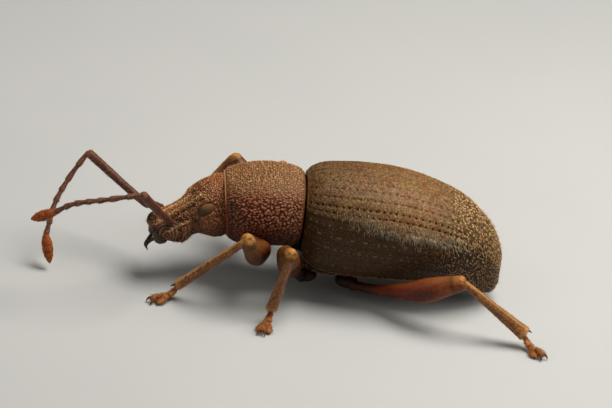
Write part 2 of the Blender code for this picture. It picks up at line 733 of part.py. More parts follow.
def build():
    clear_scene()
    finish(pronotum(), "thorax")
    finish(elytra(), "shell")
    finish(underside("metathorax", HIND_STATIONS[0][0], CHEST_END_X), "thorax")
    finish(underside("abdomen", CHEST_END_X + GAP, ABDOMEN_END_X), "shell")
    finish(head(), "head")
    finish(rostrum(), "head")
    for eye in eyes():
        finish(eye, "eye")
    for mandible in mandibles():
        finish(mandible, "mandible")
    for side in ANTENNA_KNOTS:
        for piece, look in zip(antenna(side), ("antenna", "antenna", "club")):
            finish(piece, look)
    for place in LEGS:
        for piece, look in zip(leg(place), ("thorax", "femur", "tibia", "tarsus")):
            finish(piece, look)
    centre_on_floor(list(part_collection().objects))


build()
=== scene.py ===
import itertools
import math

import bpy
import numpy as np
from mathutils import Matrix, Vector


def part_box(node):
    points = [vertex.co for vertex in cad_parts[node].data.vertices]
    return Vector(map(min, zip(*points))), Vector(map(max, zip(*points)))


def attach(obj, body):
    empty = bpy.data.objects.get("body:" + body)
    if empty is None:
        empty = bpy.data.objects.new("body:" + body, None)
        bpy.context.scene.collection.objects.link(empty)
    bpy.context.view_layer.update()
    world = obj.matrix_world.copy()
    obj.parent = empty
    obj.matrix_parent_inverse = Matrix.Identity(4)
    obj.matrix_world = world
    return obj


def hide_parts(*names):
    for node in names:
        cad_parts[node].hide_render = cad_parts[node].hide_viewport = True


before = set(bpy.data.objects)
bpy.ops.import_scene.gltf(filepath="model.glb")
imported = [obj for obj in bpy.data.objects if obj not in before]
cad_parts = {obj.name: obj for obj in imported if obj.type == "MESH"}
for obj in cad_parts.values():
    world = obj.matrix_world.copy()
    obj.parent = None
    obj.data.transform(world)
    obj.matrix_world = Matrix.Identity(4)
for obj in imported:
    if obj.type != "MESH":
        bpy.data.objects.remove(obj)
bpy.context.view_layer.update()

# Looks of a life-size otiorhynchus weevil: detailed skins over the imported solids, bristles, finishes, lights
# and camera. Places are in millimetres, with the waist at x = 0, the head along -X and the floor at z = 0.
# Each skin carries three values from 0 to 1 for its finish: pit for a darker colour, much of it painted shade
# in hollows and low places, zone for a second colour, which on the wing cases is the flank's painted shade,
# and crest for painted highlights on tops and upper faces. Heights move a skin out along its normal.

MM = 0.001
GAP = 0.15  # between neighbouring solids
BODY = "root"

waist_low, waist_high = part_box("pronotum")
ORIGIN = np.array((waist_high[0] + GAP / 2 * MM, (waist_low[1] + waist_high[1]) / 2, 0.0))

# Trunk stations: x, half width, top, bottom
PRONOTUM_STATIONS = (
    (-2.78, 1.10, 3.76, 1.62),
    (-2.62, 1.22, 3.87, 1.52),
    (-2.20, 1.44, 4.00, 1.42),
    (-1.75, 1.56, 4.10, 1.40),
    (-1.30, 1.60, 4.15, 1.45),
    (-0.85, 1.56, 4.16, 1.50),
    (-0.45, 1.46, 4.13, 1.50),
    (-0.20, 1.37, 4.06, 1.50),
    (-0.05, 1.27, 3.96, 1.58),
)
SLANT = 0.14  # how far the front edge of the pronotum slopes back for each unit down
SLANT_END = -1.20
SHIELD_ALONG = 220
SHIELD_AROUND = 700
TOP_CELLS = (124, 36)  # lattices of granules: cells around and along
SIDE_CELLS = (98, 23)
TOP_GRANULE_RISE = 0.030
SIDE_GRANULE_RISE = 0.048
INNER_RIM = ((0.45, 0.22), (0.20, 0.18), (0.10, 0.08), (0.035, 0.005))  # rings inside the front: share, depth
RIM_VALUES = (0.7, 0.5, 0.5)  # their pit, zone and crest
# Hind body stations: x, half width, top, bottom, and the level of the elytra's lower margin
HIND_STATIONS = (
    (0.03, 1.28, 4.07, 0.70, 1.78),
    (0.22, 1.50, 4.21, 0.62, 1.52),
    (0.55, 1.72, 4.33, 0.57, 1.33),
    (1.10, 1.86, 4.39, 0.56, 1.21),
    (2.00, 1.97, 4.41, 0.60, 1.14),
    (3.00, 2.01, 4.35, 0.66, 1.14),
    (4.00, 1.94, 4.14, 0.72, 1.12),
    (5.00, 1.71, 3.80, 0.70, 1.02),
    (5.60, 1.46, 3.50, 0.60, 0.86),
    (6.10, 1.16, 3.10, 0.42, 0.62),
    (6.50, 0.86, 2.66, 0.30, 0.36),
    (6.76, 0.57, 2.20, 0.34, 0.36),
    (6.93, 0.22, 1.74, 0.62, 0.64),
)
TRUNK_POWER = 2.2
BELLY_POWER = 2.0
STERNITE_EDGES = (2.95, 4.05, 4.70, 5.30)
CHEST_SPAN = (0.05, 2.02)
BELLY_SPAN = (1.98, 6.25)
BELLY_SIDES = 150
BELLY_CELLS = 52  # pits from side to side
BELLY_CELL_LENGTH = 0.13
MARGIN_TUCK = 0.06  # how far the belly's skin begins above the elytra's margin
LID_ROWS = 8  # rows of points that close a shell from edge to edge
WAIST_SPAN = (-0.30, 0.35)
WAIST_RINGS = 24
WAIST_SIDES = 120
WAIST_WIDTH = 1.13
WAIST_HEIGHT = 1.27
WAIST_LEVEL = 2.60

# Elytra
ELYTRA_ALONG = 470
ELYTRA_ACROSS = 215  # on each side
# Rows of punctures of one wing case, as shares of the way from the suture to the lower margin
STRIA_SHARES = (0.07, 0.15, 0.23, 0.31, 0.385, 0.437, 0.50, 0.58, 0.67, 0.78)
PUNCTURE_PITCH = 0.230
PUNCTURE_RADIUS = 0.044
PUNCTURE_DEPTH = 0.034
PUNCTURE_KINDS = 80  # sizes and slips that are drawn for a row
PUNCTURE_SIZES = (0.8, 1.2)
PUNCTURE_SLIP = 0.14  # along the row, in pitches
DOT_RADIUS = 0.030  # pale dots between the rows on the flank: small raised dots with a painted highlight
DOT_RISE = 0.012
GROOVE_DEPTH = 0.008
GROOVE_RADIUS = 0.050
INTERVAL_CROWN = 0.010
FULL_GIRTH = 3.2  # where half a section is narrower than this, its marks are smaller
# Where the lit upper side gives way to the flank's painted shade: x and share of the way to the margin
BORDER_LINE = (
    (0.00, 0.445), (0.80, 0.434), (1.74, 0.455), (2.50, 0.492), (3.50, 0.515),
    (4.50, 0.498), (5.20, 0.486), (5.90, 0.440), (6.93, 0.390),
)
SUTURE_DEPTH = 0.030
SUTURE_WIDTH = 0.028
MARGIN_RISE = 0.030
MARGIN_WIDTH = 0.06
COARSE_CELLS = (38, 80)  # lattices of granules on one wing case: cells across and along
FINE_CELLS = (70, 150)
BUMP_RISE = 0.030  # the coarse granules of the rear
GRAIN_RISE = 0.012
SPECK_RISE = 0.012
GRANULE_ONSET = (3.8, 5.7)  # from where the coarse granules grow to where they are full
WAVE_LENGTH = 7  # length of the body over which the slow waves repeat
WAVE_RISE = 0.010
WING_SEEDS = (11, 12)  # left and right
LID_ARCH = np.array((0, 0, 0.10))
LID_VALUES = (0, 0.8, 1, 0)  # height, pit, zone and crest of the lid under the wing cases
BARE_LEVEL = 4.30  # no hairs stand above this, so that the skin stays within the solids' height
FRINGE_PLACE = 0.002  # share of the way below the border of the flank's painted shade
FRINGE_WIDTH = 0.048
CLEAR_ROWS = 0.411  # the share of the way where the rows of punctures show best

# Head, in its own axes from the neck: s forwards, u to the animal's left, v up
NECK = np.array((-2.98, -0.03, 2.66))
HEAD_PITCH = math.radians(21)
HEAD_YAW = math.radians(17)
HEAD_STATIONS = (
    (-0.90, 0.74, 0.78, -0.92),
    (-0.60, 0.84, 0.91, -1.02),
    (-0.40, 0.87, 0.93, -1.05),
    (0.15, 0.91, 0.91, -1.05),
    (0.42, 0.91, 0.83, -0.95),
    (0.62, 0.86, 0.71, -0.80),
    (0.82, 0.75, 0.62, -0.67),
    (1.02, 0.64, 0.56, -0.64),
    (1.26, 0.59, 0.52, -0.70),
    (1.50, 0.60, 0.49, -0.77),
    (1.76, 0.68, 0.46, -0.75),
    (1.98, 0.71, 0.42, -0.67),
    (2.18, 0.69, 0.36, -0.55),
    (2.36, 0.60, 0.26, -0.40),
)
HEAD_POWER = 2.5
HEAD_TAPER = 0.24
HEAD_ALONG = 230
HEAD_AROUND = 300
EYE_PLACE = np.array((0.41, 0.664, 0.31))
EYE_RADII = np.array((0.32, 0.145, 0.23))
EYE_FACET = 0.036
LENS_RISE = 0.006
HEAD_CELLS = (76, 52)  # granules around and along
STROKE_CELLS = (120, 16)
HEAD_GRANULE_RISE = 0.036
LEAN_ROUNDS = 4  # rounds that settle the rings' lean
SCAPE_ROOT = np.array((1.70, 0.54, 0.31))
MOUTH_PLACE = (2.13, 0.0, -0.09)  # a point of the sloping face that ends the rostrum
MOUTH_SLOPE = math.radians(40)
MOUTH_FROM = 1.25  # where the rings begin to lean
MOUTH_TOP = 0.28
# A painted golden highlight near the rostrum's tip on each side: its place (s, u, v) and radii
GLINT_SPOT = (2.04, 0.32, 0.345)
GLINT_RADII = (0.10, 0.08, 0.10)
CHIN_PLACE = (1.35, 0.42, -0.55)
CHIN_REACH = 0.32
MOUTH_VALUES = (0.6, 0.0, 0.0)  # pit, zone and crest of the mouth's face
# Painted shade on the far, right side of the rostrum's tip: its reach and place (s, u, v)
SHADE_REACH = 0.20
SHADE_LOBE = (2.14, -0.30, 0.26)
TIP_ROUNDING = 0.20
TIP_SPAN = (1.85, 2.13)
SWIRL = ((1.96, 0.66, -0.02), 0.46, 0.12)  # lines round each cheek: centre, reach, distance from line to line
SIDES = {"left": 1, "right": -1}
MOUTH_RIM = ((0.03, 0.025), (0.10, 0.040), (0.22, 0.030), (0.45, 0.0), (0.75, -0.04))
# Raised or sunk marks of the head on each side: place (s, u, v), radii, height
HEAD_MARKS = (
    ((0.60, 0.0, 0.70), (0.09, 0.05, 0.20), -0.06),
    ((1.72, 0.46, 0.30), (0.20, 0.14, 0.10), -0.11),
    ((1.96, 0.68, 0.10), (0.24, 0.26, 0.20), 0.05),
    ((1.36, 0.52, 0.18), (0.24, 0.20, 0.10), -0.03),
    ((1.40, 0.50, -0.40), (0.26, 0.40, 0.28), 0.06),
    ((2.16, 0.0, 0.34), (0.16, 0.20, 0.20), -0.05),
    ((2.08, 0.34, 0.36), (0.16, 0.12, 0.14), 0.04),
    ((1.75, 0.30, -0.70), (0.30, 0.22, 0.14), 0.05),
    ((0.90, 0.60, 0.02), (0.16, 0.30, 0.24), -0.05),
    ((0.30, 0.60, -0.70), (0.40, 0.40, 0.30), 0.03),
)
# Lines of the head on each side: route of (s, u, v), width, height
HEAD_LINES = (
    (((0.78, 0.0, 0.64), (1.04, 0.0, 0.56), (1.40, 0.0, 0.51), (1.95, 0.0, 0.43)), 0.055, 0.045),
    (
        ((0.44, 0.36, 0.76), (0.75, 0.30, 0.66), (1.02, 0.26, 0.56), (1.45, 0.25, 0.50), (1.98, 0.34, 0.40)),
        0.050, 0.040,
    ),
    (
        ((0.80, 0.42, 0.51), (1.00, 0.36, 0.46), (1.23, 0.34, 0.42), (1.42, 0.36, 0.38), (1.66, 0.42, 0.33)),
        0.055, -0.060,
    ),
    (((0.43, 0.50, 0.68), (0.63, 0.44, 0.64), (0.80, 0.42, 0.52)), 0.028, -0.040),
    (((0.95, 0.58, 0.10), (1.30, 0.54, 0.06), (1.62, 0.57, 0.06), (1.86, 0.62, 0.04)), 0.035, 0.035),
    (((1.62, 0.62, -0.06), (1.74, 0.62, -0.26), (1.80, 0.50, -0.50)), 0.030, 0.035),
    (((1.78, 0.64, -0.04), (1.90, 0.62, -0.20), (1.96, 0.50, -0.38)), 0.026, 0.032),
    (((1.46, 0.60, -0.10), (1.56, 0.60, -0.34), (1.60, 0.42, -0.66)), 0.040, -0.050),
    (((0.98, 0.58, -0.12), (1.10, 0.55, -0.34), (1.14, 0.36, -0.60)), 0.040, -0.045),
)
MANDIBLE_PLACE = np.array((2.11, 0.25, -0.26))
MANDIBLE_RADII = np.array((0.27, 0.235, 0.27))
JAW_HINGE = np.array((-0.5, 0.5, 0.9))  # centre of the jaw's curved lines
JAW_LINE_RISE = 0.016
# The hook of a jaw, in steps from the jaw's place
FANG_ROUTE = (
    (0.06, -0.06, -0.02), (0.24, -0.12, -0.07), (0.42, -0.18, -0.16),
    (0.55, -0.195, -0.29), (0.53, -0.20, -0.47),
)
FANG_RADII = (0.09, 0.068, 0.054, 0.044, 0.010)

# Antennae: shoulder, elbow, two bends of the funicle, the club's root and its tip
ANTENNA_KNOTS = {
    "left": (
        (-4.90, -1.74, 3.02),
        (-5.65, -2.80, 4.22),
        (-6.89, -3.00, 4.01),
        (-7.91, -3.00, 3.75),
        (-8.54, -3.00, 3.36),
        (-9.28, -3.00, 3.03),
    ),
    "right": (
        (-5.39, 0.70, 2.15),
        (-7.32, 1.50, 3.36),
        (-7.86, 0.98, 2.66),
        (-8.30, 0.35, 1.93),
        (-8.53, -0.42, 1.05),
        (-8.31, -0.90, 0.27),
    ),
}
SCAPE_RADII = (0.095, 0.118, 0.126, 0.150)
SCAPE_KNOB = np.array((0.11, 0.10, 0.11))
SCAPE_CELLS = (20, 50)  # granules around and along
ELBOW_OVERLAP = 0.04
FUNICLE_RADII = (0.068, 0.076, 0.088, 0.102, 0.094)  # along each joint
CLUB_RINGS = (0.40, 0.64, 0.82)
CLUB_RING_DEPTH = 0.022
FUNICLE_LENGTHS = (1.35, 1.35, 0.95, 0.90, 0.88, 0.88, 0.92)
FUNICLE_STEPS = 400
JOINT_CELLS = (14, 8)
CLUB_SHARES = (-0.06, 0.22, 0.5, 0.8, 1.0)
CLUB_RADII = (0.10, 0.175, 0.185, 0.13, 0.02)

# Legs: the hip, the thick of the femur, the knee, the ankle, and the foot's heading on the floor
LEGS = {
    "front_left": (
        (-1.42, -0.62, 1.26), (-1.57, -2.05, 2.08), (-1.95, -2.62, 2.76),
        (-4.04, -2.03, 0.48), (-0.85, -0.52, 0),
    ),
    "mid_left": (
        (0.34, -0.76, 0.70), (-0.50, -2.35, 2.00), (-0.46, -3.10, 2.60),
        (-0.90, -3.12, 0.48), (-0.30, -0.95, 0),
    ),
    "hind_left": (
        (1.72, -0.86, 0.62), (4.12, -2.48, 1.38), (5.45, -2.80, 1.98),
        (7.70, -3.25, 0.48), (0.60, -0.80, 0),
    ),
    "front_right": (
        (-1.42, 0.62, 1.26), (-1.66, 2.08, 1.95), (-2.30, 2.91, 2.93),
        (-3.85, 2.90, 0.48), (-0.86, 0.51, 0),
    ),
    "mid_right": (
        (0.34, 0.76, 0.70), (-0.24, 2.40, 1.64), (-0.62, 3.30, 2.62),
        (-0.95, 3.60, 0.48), (-0.30, 0.95, 0),
    ),
    "hind_right": (
        (1.72, 0.86, 0.62), (3.10, 2.30, 1.22), (4.05, 2.72, 2.20),
        (5.75, 3.05, 0.48), (0.55, 0.84, 0),
    ),
}
COXA_RADIUS = {"front": 0.36, "mid": 0.32, "hind": 0.32}
COXA_DROP = {"front": 0.152, "mid": 0.119, "hind": 0.126}  # below the trunk, beyond the gap
COXA_REACH = 0.27  # from the coxa's centre to the joint with the femur
# Unevenness of the femur's thick part: random waves and long lobes
THIGH_WAVES = {"front": 0.10, "mid": 0.08, "hind": 0.035}
THIGH_LOBES = {"front": 0.055, "mid": 0.040, "hind": 0.012}
FEMUR_BOW = {"front": 0.15, "mid": 0.10, "hind": 0.16}
FEMUR_RADII = {
    "front": (0.17, 0.24, 0.475, 0.34, 0.245),
    "mid": (0.16, 0.22, 0.415, 0.31, 0.225),
    "hind": (0.15, 0.19, 0.40, 0.33, 0.245),
}
TIBIA_RADII = {
    "front": (0.12, 0.135, 0.150, 0.170),
    "mid": (0.115, 0.14, 0.165, 0.195),
    "hind": (0.12, 0.15, 0.20, 0.255),
}
TIBIA_SHINE = {"front": 0.75, "mid": 0.75, "hind": 0.25}  # how much painted highlight the upper edge gets
TIBIA_RIDGES = 7
TROCHANTER = ((0.17, 0.19, 0.15), 30, 40, (0.08, 0.08))  # radii, points along and around, rounding
COXA_SHAPE = np.array((1.25, 1.1, 0.8))
COXA_SINK = 0.16
# Granules and streaks around and along
COXA_CELLS = (22, 12)
FEMUR_CELLS = (34, 40)
STREAK_CELLS = (44, 9)
TIBIA_CELLS = (16, 44)
# Steps on from the ankle, or from a tooth's root, and aside to the inner edge
SPUR_KNOTS = ((-0.06, 0.10), (0.02, 0.20), (0.14, 0.22))
TOOTH_KNOTS = ((0, 0), (0.02, 0.05), (0.05, 0.09))
SPUR_RADII = (0.05, 0.035, 0.006)
TOOTH_RADII = (0.035, 0.024, 0.005)
TOOTH_PLACES = (0.42, 0.52, 0.62, 0.72, 0.82)  # along the front tibia's inner edge
FOOT_LENGTH = 1.10
# Joints of the foot: knots as share of the length and height, radii, points along and around, rounding
# and flatness
FOOT_JOINTS = (
    (((0.06, 0.34), (0.16, 0.24), (0.31, 0.16)), (0.08, 0.10, 0.13, 0.165), 36, 36, (0.05, 0.07), 0.72),
    (((0.26, 0.17), (0.38, 0.16), (0.51, 0.13)), (0.08, 0.14, 0.19), 30, 36, (0.03, 0.07), 0.62),
    (((0.56, 0.19), (0.72, 0.23), (0.89, 0.20)), (0.050, 0.065, 0.105), 32, 28, (0.03, 0.06), 1.0),
)
# Knots of a lobe and a claw on each side: share of the length, height, aside
LOBE_KNOTS = ((0.46, 0.14, 0.03), (0.60, 0.115, 0.13), (0.78, 0.085, 0.18))
CLAW_KNOTS = ((0.85, 0.19, 0.03), (0.92, 0.19, 0.09), (0.98, 0.11, 0.13), (1.0, 0.015, 0.13))
LOBE_RADII = (0.08, 0.135, 0.095)
CLAW_RADII = (0.05, 0.042, 0.028, 0.008)
SOLE_NORMAL = -0.2  # pads of hairs stand where the skin faces down more than this

# The camera's angles and its frame, in design millimetres
CAMERA_ELEVATION = math.radians(28)
CAMERA_SWING = math.radians(6)
CAMERA_ROLL = math.radians(8)
CAMERA_AIM = (0.10, 0.0, 2.938)
FRAME_WIDTH = 612 / 29.63
LENS = 500.0
SENSOR = 36.0
CLIP_SPAN = (0.2, 20)  # nearest and farthest depth that is shown, in camera distances

# Studio
WARM = (1.0, 0.90, 0.76)  # tint of the light
LIGHTS = {  # place in mm, diameter in mm, power in W
    "overhead": ((18, 4, 58), 40, 0.044),
    "front_fill": ((-46, -26, 34), 50, 0.007),
    "rear_fill": ((50, 2, 36), 40, 0.014),
}
SKY_STRENGTH = 0.16
FLOOR_REACH = 0.5  # metres to each side
FLOOR_COLOURS = ((0.46, 0.50, 0.55, 1), (0.42, 0.46, 0.51, 1))
FLOOR_PATCH = 9.0  # size of the floor's faint patches
FLOOR_ROUGHNESS = 0.8

# Kinds of bristles: how many, length, thickness, and lean from the surface normal in radians
COATS = {
    "wing_hair": (5200, 0.070, 0.0036, 1.30),
    "wing_scale": (2400, 0.050, 0.0080, 1.20),
    "wing_tail": (1100, 0.13, 0.0045, 0.80),
    "wing_fringe": (2700, 0.19, 0.0062, 1.36),
    "shield": (1300, 0.085, 0.0040, 1.1),
    "belly": (420, 0.12, 0.0055, 1.2),  # on each millimetre of the body's length
    "head": (1300, 0.070, 0.0038, 1.15),
    "chin": (420, 0.10, 0.0060, 1.00),
    "scape": (420, 0.085, 0.0048, 1.10),
    "funicle": (56, 0.080, 0.0048, 0.95),  # on each joint
    "club": (460, 0.040, 0.0040, 1.0),
    "femur": (300, 0.070, 0.0038, 1.30),
    "tibia": (420, 0.090, 0.0046, 1.15),
    "tibia_edge": (90, 0.095, 0.0060, 0.9),
    "tibia_end": (70, 0.075, 0.0080, 1.2),
    "pad": (240, 0.055, 0.0055, 0.4),
    "toe": (90, 0.13, 0.0065, 0.9),
}
LEAN_RANGE = (0.75, 1.2)
LENGTH_RANGE = (0.65, 1.2)
THICKNESS_RANGE = (0.8, 1.2)
STRAY = 0.16  # random spread of the direction
SAG = 0.45  # how much the outer half lies down
ROOT_DEPTH = 1.5  # below the skin, in thicknesses
MIDDLE_WIDTH = 0.75
HANG = np.array((0.15, 0.0, -1.0))
FLOOR_GAP = 0.004
CORNERS = 7
BRISTLE_PATCH = ((0, 0), (1, 0), (0, 1), (0, 0), (1, 0), (0, 1), (0.4, 0.4))  # texture places of the corners
PATCH_SIZE = 0.003

# Finishes, with colours as screen values and sizes in mm. In each, crest is a painted highlight colour and pit
# a darker colour, much of it painted shade in hollows; the shell's zone is the flank's painted shade.
FINISHES = {
    "shell": dict(
        main=(134, 102, 60), patch=(128, 82, 50), zone=(62, 42, 18), pit=(36, 23, 13), crest=(206, 172, 118),
        rough=(0.42, 0.60), grain=0.045, relief=0.006, patch_size=0.6, specular=0.22, speckle=0.60,
    ),
    "thorax": dict(
        main=(108, 76, 44), patch=(114, 78, 48), zone=(114, 46, 25), pit=(28, 15, 9), crest=(208, 158, 112),
        rough=(0.36, 0.54), grain=0.05, relief=0.003,
    ),
    "belly": dict(
        main=(46, 25, 14), patch=(34, 18, 11), zone=(96, 54, 30), pit=(12, 8, 5), crest=(90, 60, 34),
        rough=(0.36, 0.54), grain=0.05, relief=0.005, specular=0.22,
    ),
    "head": dict(
        main=(128, 76, 48), patch=(112, 58, 46), zone=(178, 104, 54), pit=(28, 17, 10), crest=(238, 190, 128),
        rough=(0.36, 0.54), grain=0.04, relief=0.003, patch_size=0.35,
    ),
    "eye": dict(
        main=(70, 62, 44), patch=(56, 54, 40), zone=(116, 80, 52), pit=(44, 34, 22), crest=(108, 88, 60),
        rough=(0.48, 0.60), grain=0.03, relief=0.0005, patch_size=0.3, specular=0.22,
    ),
    "mandible": dict(
        main=(70, 50, 28), patch=(50, 34, 20), zone=(36, 20, 12), pit=(14, 9, 5), crest=(140, 106, 62),
        rough=(0.28, 0.44), grain=0.05, relief=0.003, patch_size=0.3, coat=0.1, specular=0.3,
    ),
    "antenna": dict(
        main=(92, 54, 44), patch=(72, 40, 38), zone=(140, 88, 52), pit=(36, 20, 16), crest=(162, 112, 84),
        rough=(0.40, 0.58), grain=0.04, relief=0.003, patch_size=0.3,
    ),
    "club": dict(
        main=(150, 74, 24), patch=(122, 56, 20), zone=(172, 94, 36), pit=(66, 32, 12), crest=(176, 102, 46),
        rough=(0.50, 0.66), grain=0.03, relief=0.003, patch_size=0.2, specular=0.2,
    ),
    "femur": dict(
        main=(122, 40, 16), patch=(96, 32, 14), zone=(214, 150, 84), pit=(42, 20, 11), crest=(126, 86, 50),
        rough=(0.34, 0.50), grain=0.06, relief=0.006, patch_size=0.6, specular=0.22,
    ),
    "dark_femur": dict(
        main=(80, 34, 15), patch=(60, 25, 13), zone=(238, 172, 88), pit=(26, 14, 8), crest=(112, 66, 34),
        rough=(0.34, 0.50), grain=0.06, relief=0.006, patch_size=0.6, specular=0.20,
    ),
    "tibia": dict(
        main=(132, 78, 42), patch=(110, 60, 40), zone=(204, 134, 70), pit=(48, 26, 16), crest=(232, 188, 108),
        rough=(0.36, 0.52), grain=0.05, relief=0.003, patch_size=0.4, coat=0.04, specular=0.28,
    ),
    "tarsus": dict(
        main=(156, 94, 44), patch=(124, 70, 34), zone=(186, 122, 60), pit=(58, 30, 14), crest=(188, 130, 68),
        rough=(0.40, 0.56), grain=0.04, relief=0.003, patch_size=0.3,
    ),
    # Near black all over: painted shade in the gap between the shield and the wing cases
    "waist": dict(
        main=(16, 11, 8), patch=(24, 16, 10), zone=(24, 16, 10), pit=(6, 5, 4), crest=(24, 16, 10),
        rough=(0.50, 0.70), grain=0.04, relief=0.003, specular=0.15,
    ),
}
BRISTLE_COLOURS = {
    "pale": ((196, 158, 100), (150, 110, 66)),
    # The fringe's pale grey is partly the hairs' own colour and partly a painted sheen of the fine hairs
    "grey": ((192, 176, 148), (132, 116, 92)),
    "gold": ((186, 138, 78), (146, 98, 52)),
}
# Spans of the noise that mottles, specks and roughens a finish
MOTTLE_SPAN = (0.38, 0.64)
SPECKLE_SPAN = (0.35, 0.7)
ROUGHNESS_SPAN = (0.3, 0.7)
BRISTLE_SPAN = (0.35, 0.65)
COAT_ROUGHNESS = 0.18
BRISTLE_SHEEN = 0.2

# Steps of tables, routes and tubes
FINE_STEPS = 2000  # along a station table, to measure it
SPAN_STEPS = 24  # between two knots of a route
CAP_TIP = 0.0005  # least share of the radius at a rounded tip, squared
TIP_FADE = 0.08  # a tube thinner than this keeps a plain skin
POLE_GAP = 0.02  # radians left open at the poles of a ball
LIMB_UPRIGHT = (0.1, 0.2, 1.0)
FAR = 9.0  # more than any distance that is looked for


# Small maths

def smooth(low, high, value):
    t = np.clip((value - low) / (high - low), 0.0, 1.0)
    return t * t * (3 - 2 * t)


def bell(value, width=1.0):
    return np.exp(-((value / width) ** 2))


def lengths(vectors):
    return np.linalg.norm(vectors, axis=-1)


def unit(vectors):
    return vectors / np.maximum(lengths(vectors)[..., None], 1e-12)


def walked(points):
    """Distance along a line of points, from its start to each of them."""
    return np.concatenate(([0.0], np.cumsum(lengths(np.diff(points, axis=0)))))


def turns(count):
    """Shares of a full turn, evenly spaced, as one row."""
    return np.linspace(0, 1, count, endpoint=False)[None, :]


def centre_and_half(rows):
    """Mid level and half height of station rows."""
    top, bottom = rows[..., 2], rows[..., 3]
    return (top + bottom) / 2, (top - bottom) / 2


def sample(table, places):
    """Rows of a station table at many places, smooth through the rows."""
    rows = np.array(table, float)
    last = len(rows) - 1
    x = np.clip(places, rows[0, 0], rows[last, 0])
    i = np.clip(np.searchsorted(rows[:, 0], x, side="right") - 1, 0, last - 1)
    before, start = rows[np.maximum(i - 1, 0)], rows[i]
    end, after = rows[i + 1], rows[np.minimum(i + 2, last)]
    span = (end[:, 0] - start[:, 0])[:, None]
    t = (x[:, None] - start[:, :1]) / span
    slope_in = (end - before) * span / np.maximum(end[:, :1] - before[:, :1], span)
    slope_out = (after - start) * span / np.maximum(after[:, :1] - start[:, :1], span)
    mixed = start * (2 * t**3 - 3 * t**2 + 1) + slope_in * (t**3 - 2 * t**2 + t)
    return mixed + end * (3 * t**2 - 2 * t**3) + slope_out * (t**3 - t**2)


def even_places(table, count, end=None):
    """Places along a station table, evenly spaced on the surface and not along the axis."""
    fine = np.linspace(table[0][0], table[-1][0] if end is None else end, FINE_STEPS)
    rows = sample(table, fine)[:, :3]
    rows[:, 0] = fine
    walk = walked(rows)
    return np.interp(np.linspace(0, walk[-1], count), walk, fine)


def superellipse(angles, half_width, half_height, power):
    cosine, sine = np.cos(angles), np.sin(angles)
    across = half_width * np.sign(cosine) * np.abs(cosine) ** (2 / power)
    up = half_height * np.sign(sine) * np.abs(sine) ** (2 / power)
    return across, up


def grid_normals(points):
    """Outward normals of a grid of rings."""
    around = np.roll(points, -1, 1) - np.roll(points, 1, 1)
    along = np.gradient(points, axis=0)
    normals = unit(np.cross(around, along))
    outward = np.sum(normals * (points - points.mean(axis=1, keepdims=True)))
    return normals if outward > 0 else -normals


def raised(grid, height):
    """The grid with each point moved out along its normal."""
    return grid + grid_normals(grid) * height[..., None]


def up_facing(grid, low, high):
    return smooth(low, high, grid_normals(grid)[..., 2])


def lattice(u, v, cells, seed, jitter=0.8):
    """Distance in cells to the nearest point of a jittered lattice that wraps round in u, and its number."""
    cells_u, cells_v = cells
    spots = np.random.default_rng(seed).random((cells_u, cells_v, 3))
    place_u, place_v = u * cells_u, v * cells_v
    cell_u, cell_v = np.floor(place_u).astype(int), np.floor(place_v).astype(int)
    nearest = np.full(place_u.shape, FAR)
    mark = np.zeros(place_u.shape)
    for step_u, step_v in itertools.product((-1, 0, 1), repeat=2):
        spot = spots[(cell_u + step_u) % cells_u, np.clip(cell_v + step_v, 0, cells_v - 1)]
        far_u = cell_u + step_u + 0.5 + (spot[..., 0] - 0.5) * jitter - place_u
        far_v = cell_v + step_v + 0.5 + (spot[..., 1] - 0.5) * jitter - place_v
        distance = np.hypot(far_u, far_v)
        closer = distance < nearest
        nearest = np.where(closer, distance, nearest)
        mark = np.where(closer, spot[..., 2], mark)
    return nearest, mark


def dome(distance, radius):
    return np.sqrt(np.clip(1 - (distance / radius) ** 2, 0.0, 1.0))


def ripple(u, v, seed, waves=6, reach=7):
    """Slow random unevenness between -1 and 1, wrapping round in u."""
    rng = np.random.default_rng(seed)
    total = np.zeros(np.broadcast(u, v).shape)
    for _ in range(waves):
        turns_u, turns_v = rng.integers(-reach, reach + 1), rng.uniform(-reach, reach)
        total = total + np.sin(2 * math.pi * (turns_u * u + turns_v * v + rng.random()))
    return total / waves


# Meshes

class Solid:
    """Closed grids of rings gathered into one mesh, with a pit, a zone and a crest value at each vertex."""

    LABELS = ("pit", "zone", "crest")

    def __init__(self):
        self.points, self.quads, self.fans = [], [], []
        self.values = {label: [] for label in self.LABELS}
        self.count = 0

    def add(self, grid, pit=0.0, zone=0.0, crest=0.0):
        """Adds a grid of rings as a closed surface with a fan over each end, faces outward."""
        rings, sides = grid.shape[:2]
        points = np.concatenate((grid.reshape(-1, 3), grid[:1].mean(axis=1), grid[-1:].mean(axis=1)))
        index = np.arange(rings * sides).reshape(rings, sides)
        turned = np.roll(index, -1, 1)
        quads = np.stack((index[:-1], turned[:-1], turned[1:], index[1:]), axis=-1).reshape(-1, 4)
        first = np.stack((turned[0], index[0], np.full(sides, rings * sides)), axis=-1)
        last = np.stack((index[-1], turned[-1], np.full(sides, rings * sides + 1)), axis=-1)
        fans = np.concatenate((first, last))
        corners = np.concatenate((quads[:, [0, 1, 2]], quads[:, [0, 2, 3]], fans))
        a, b, c = (points[corners[:, i]] - points.mean(axis=0) for i in range(3))
        if np.sum(a * np.cross(b, c)) < 0:
            quads, fans = quads[:, ::-1], fans[:, ::-1]
        self.points.append(points)
        self.quads.append(quads + self.count)
        self.fans.append(fans + self.count)
        for label, value in zip(self.LABELS, (pit, zone, crest)):
            value = np.clip(np.broadcast_to(value, (rings, sides)), 0, 1)
            self.values[label].append(np.concatenate((value.ravel(), [value[0].mean(), value[-1].mean()])))
        self.count += len(points)

    def show(self, name, finish, nodes=()):
        """Makes the mesh and shows it as a piece of the model, in the place of the named solids."""
        mesh = faces_mesh(name, self.points, self.quads, self.fans)
        for label, values in self.values.items():
            attribute = mesh.attributes.new(label, "FLOAT", "POINT")
            attribute.data.foreach_set("value", np.concatenate(values).astype(np.float32))
        piece(name, mesh, MATERIALS[finish], nodes)


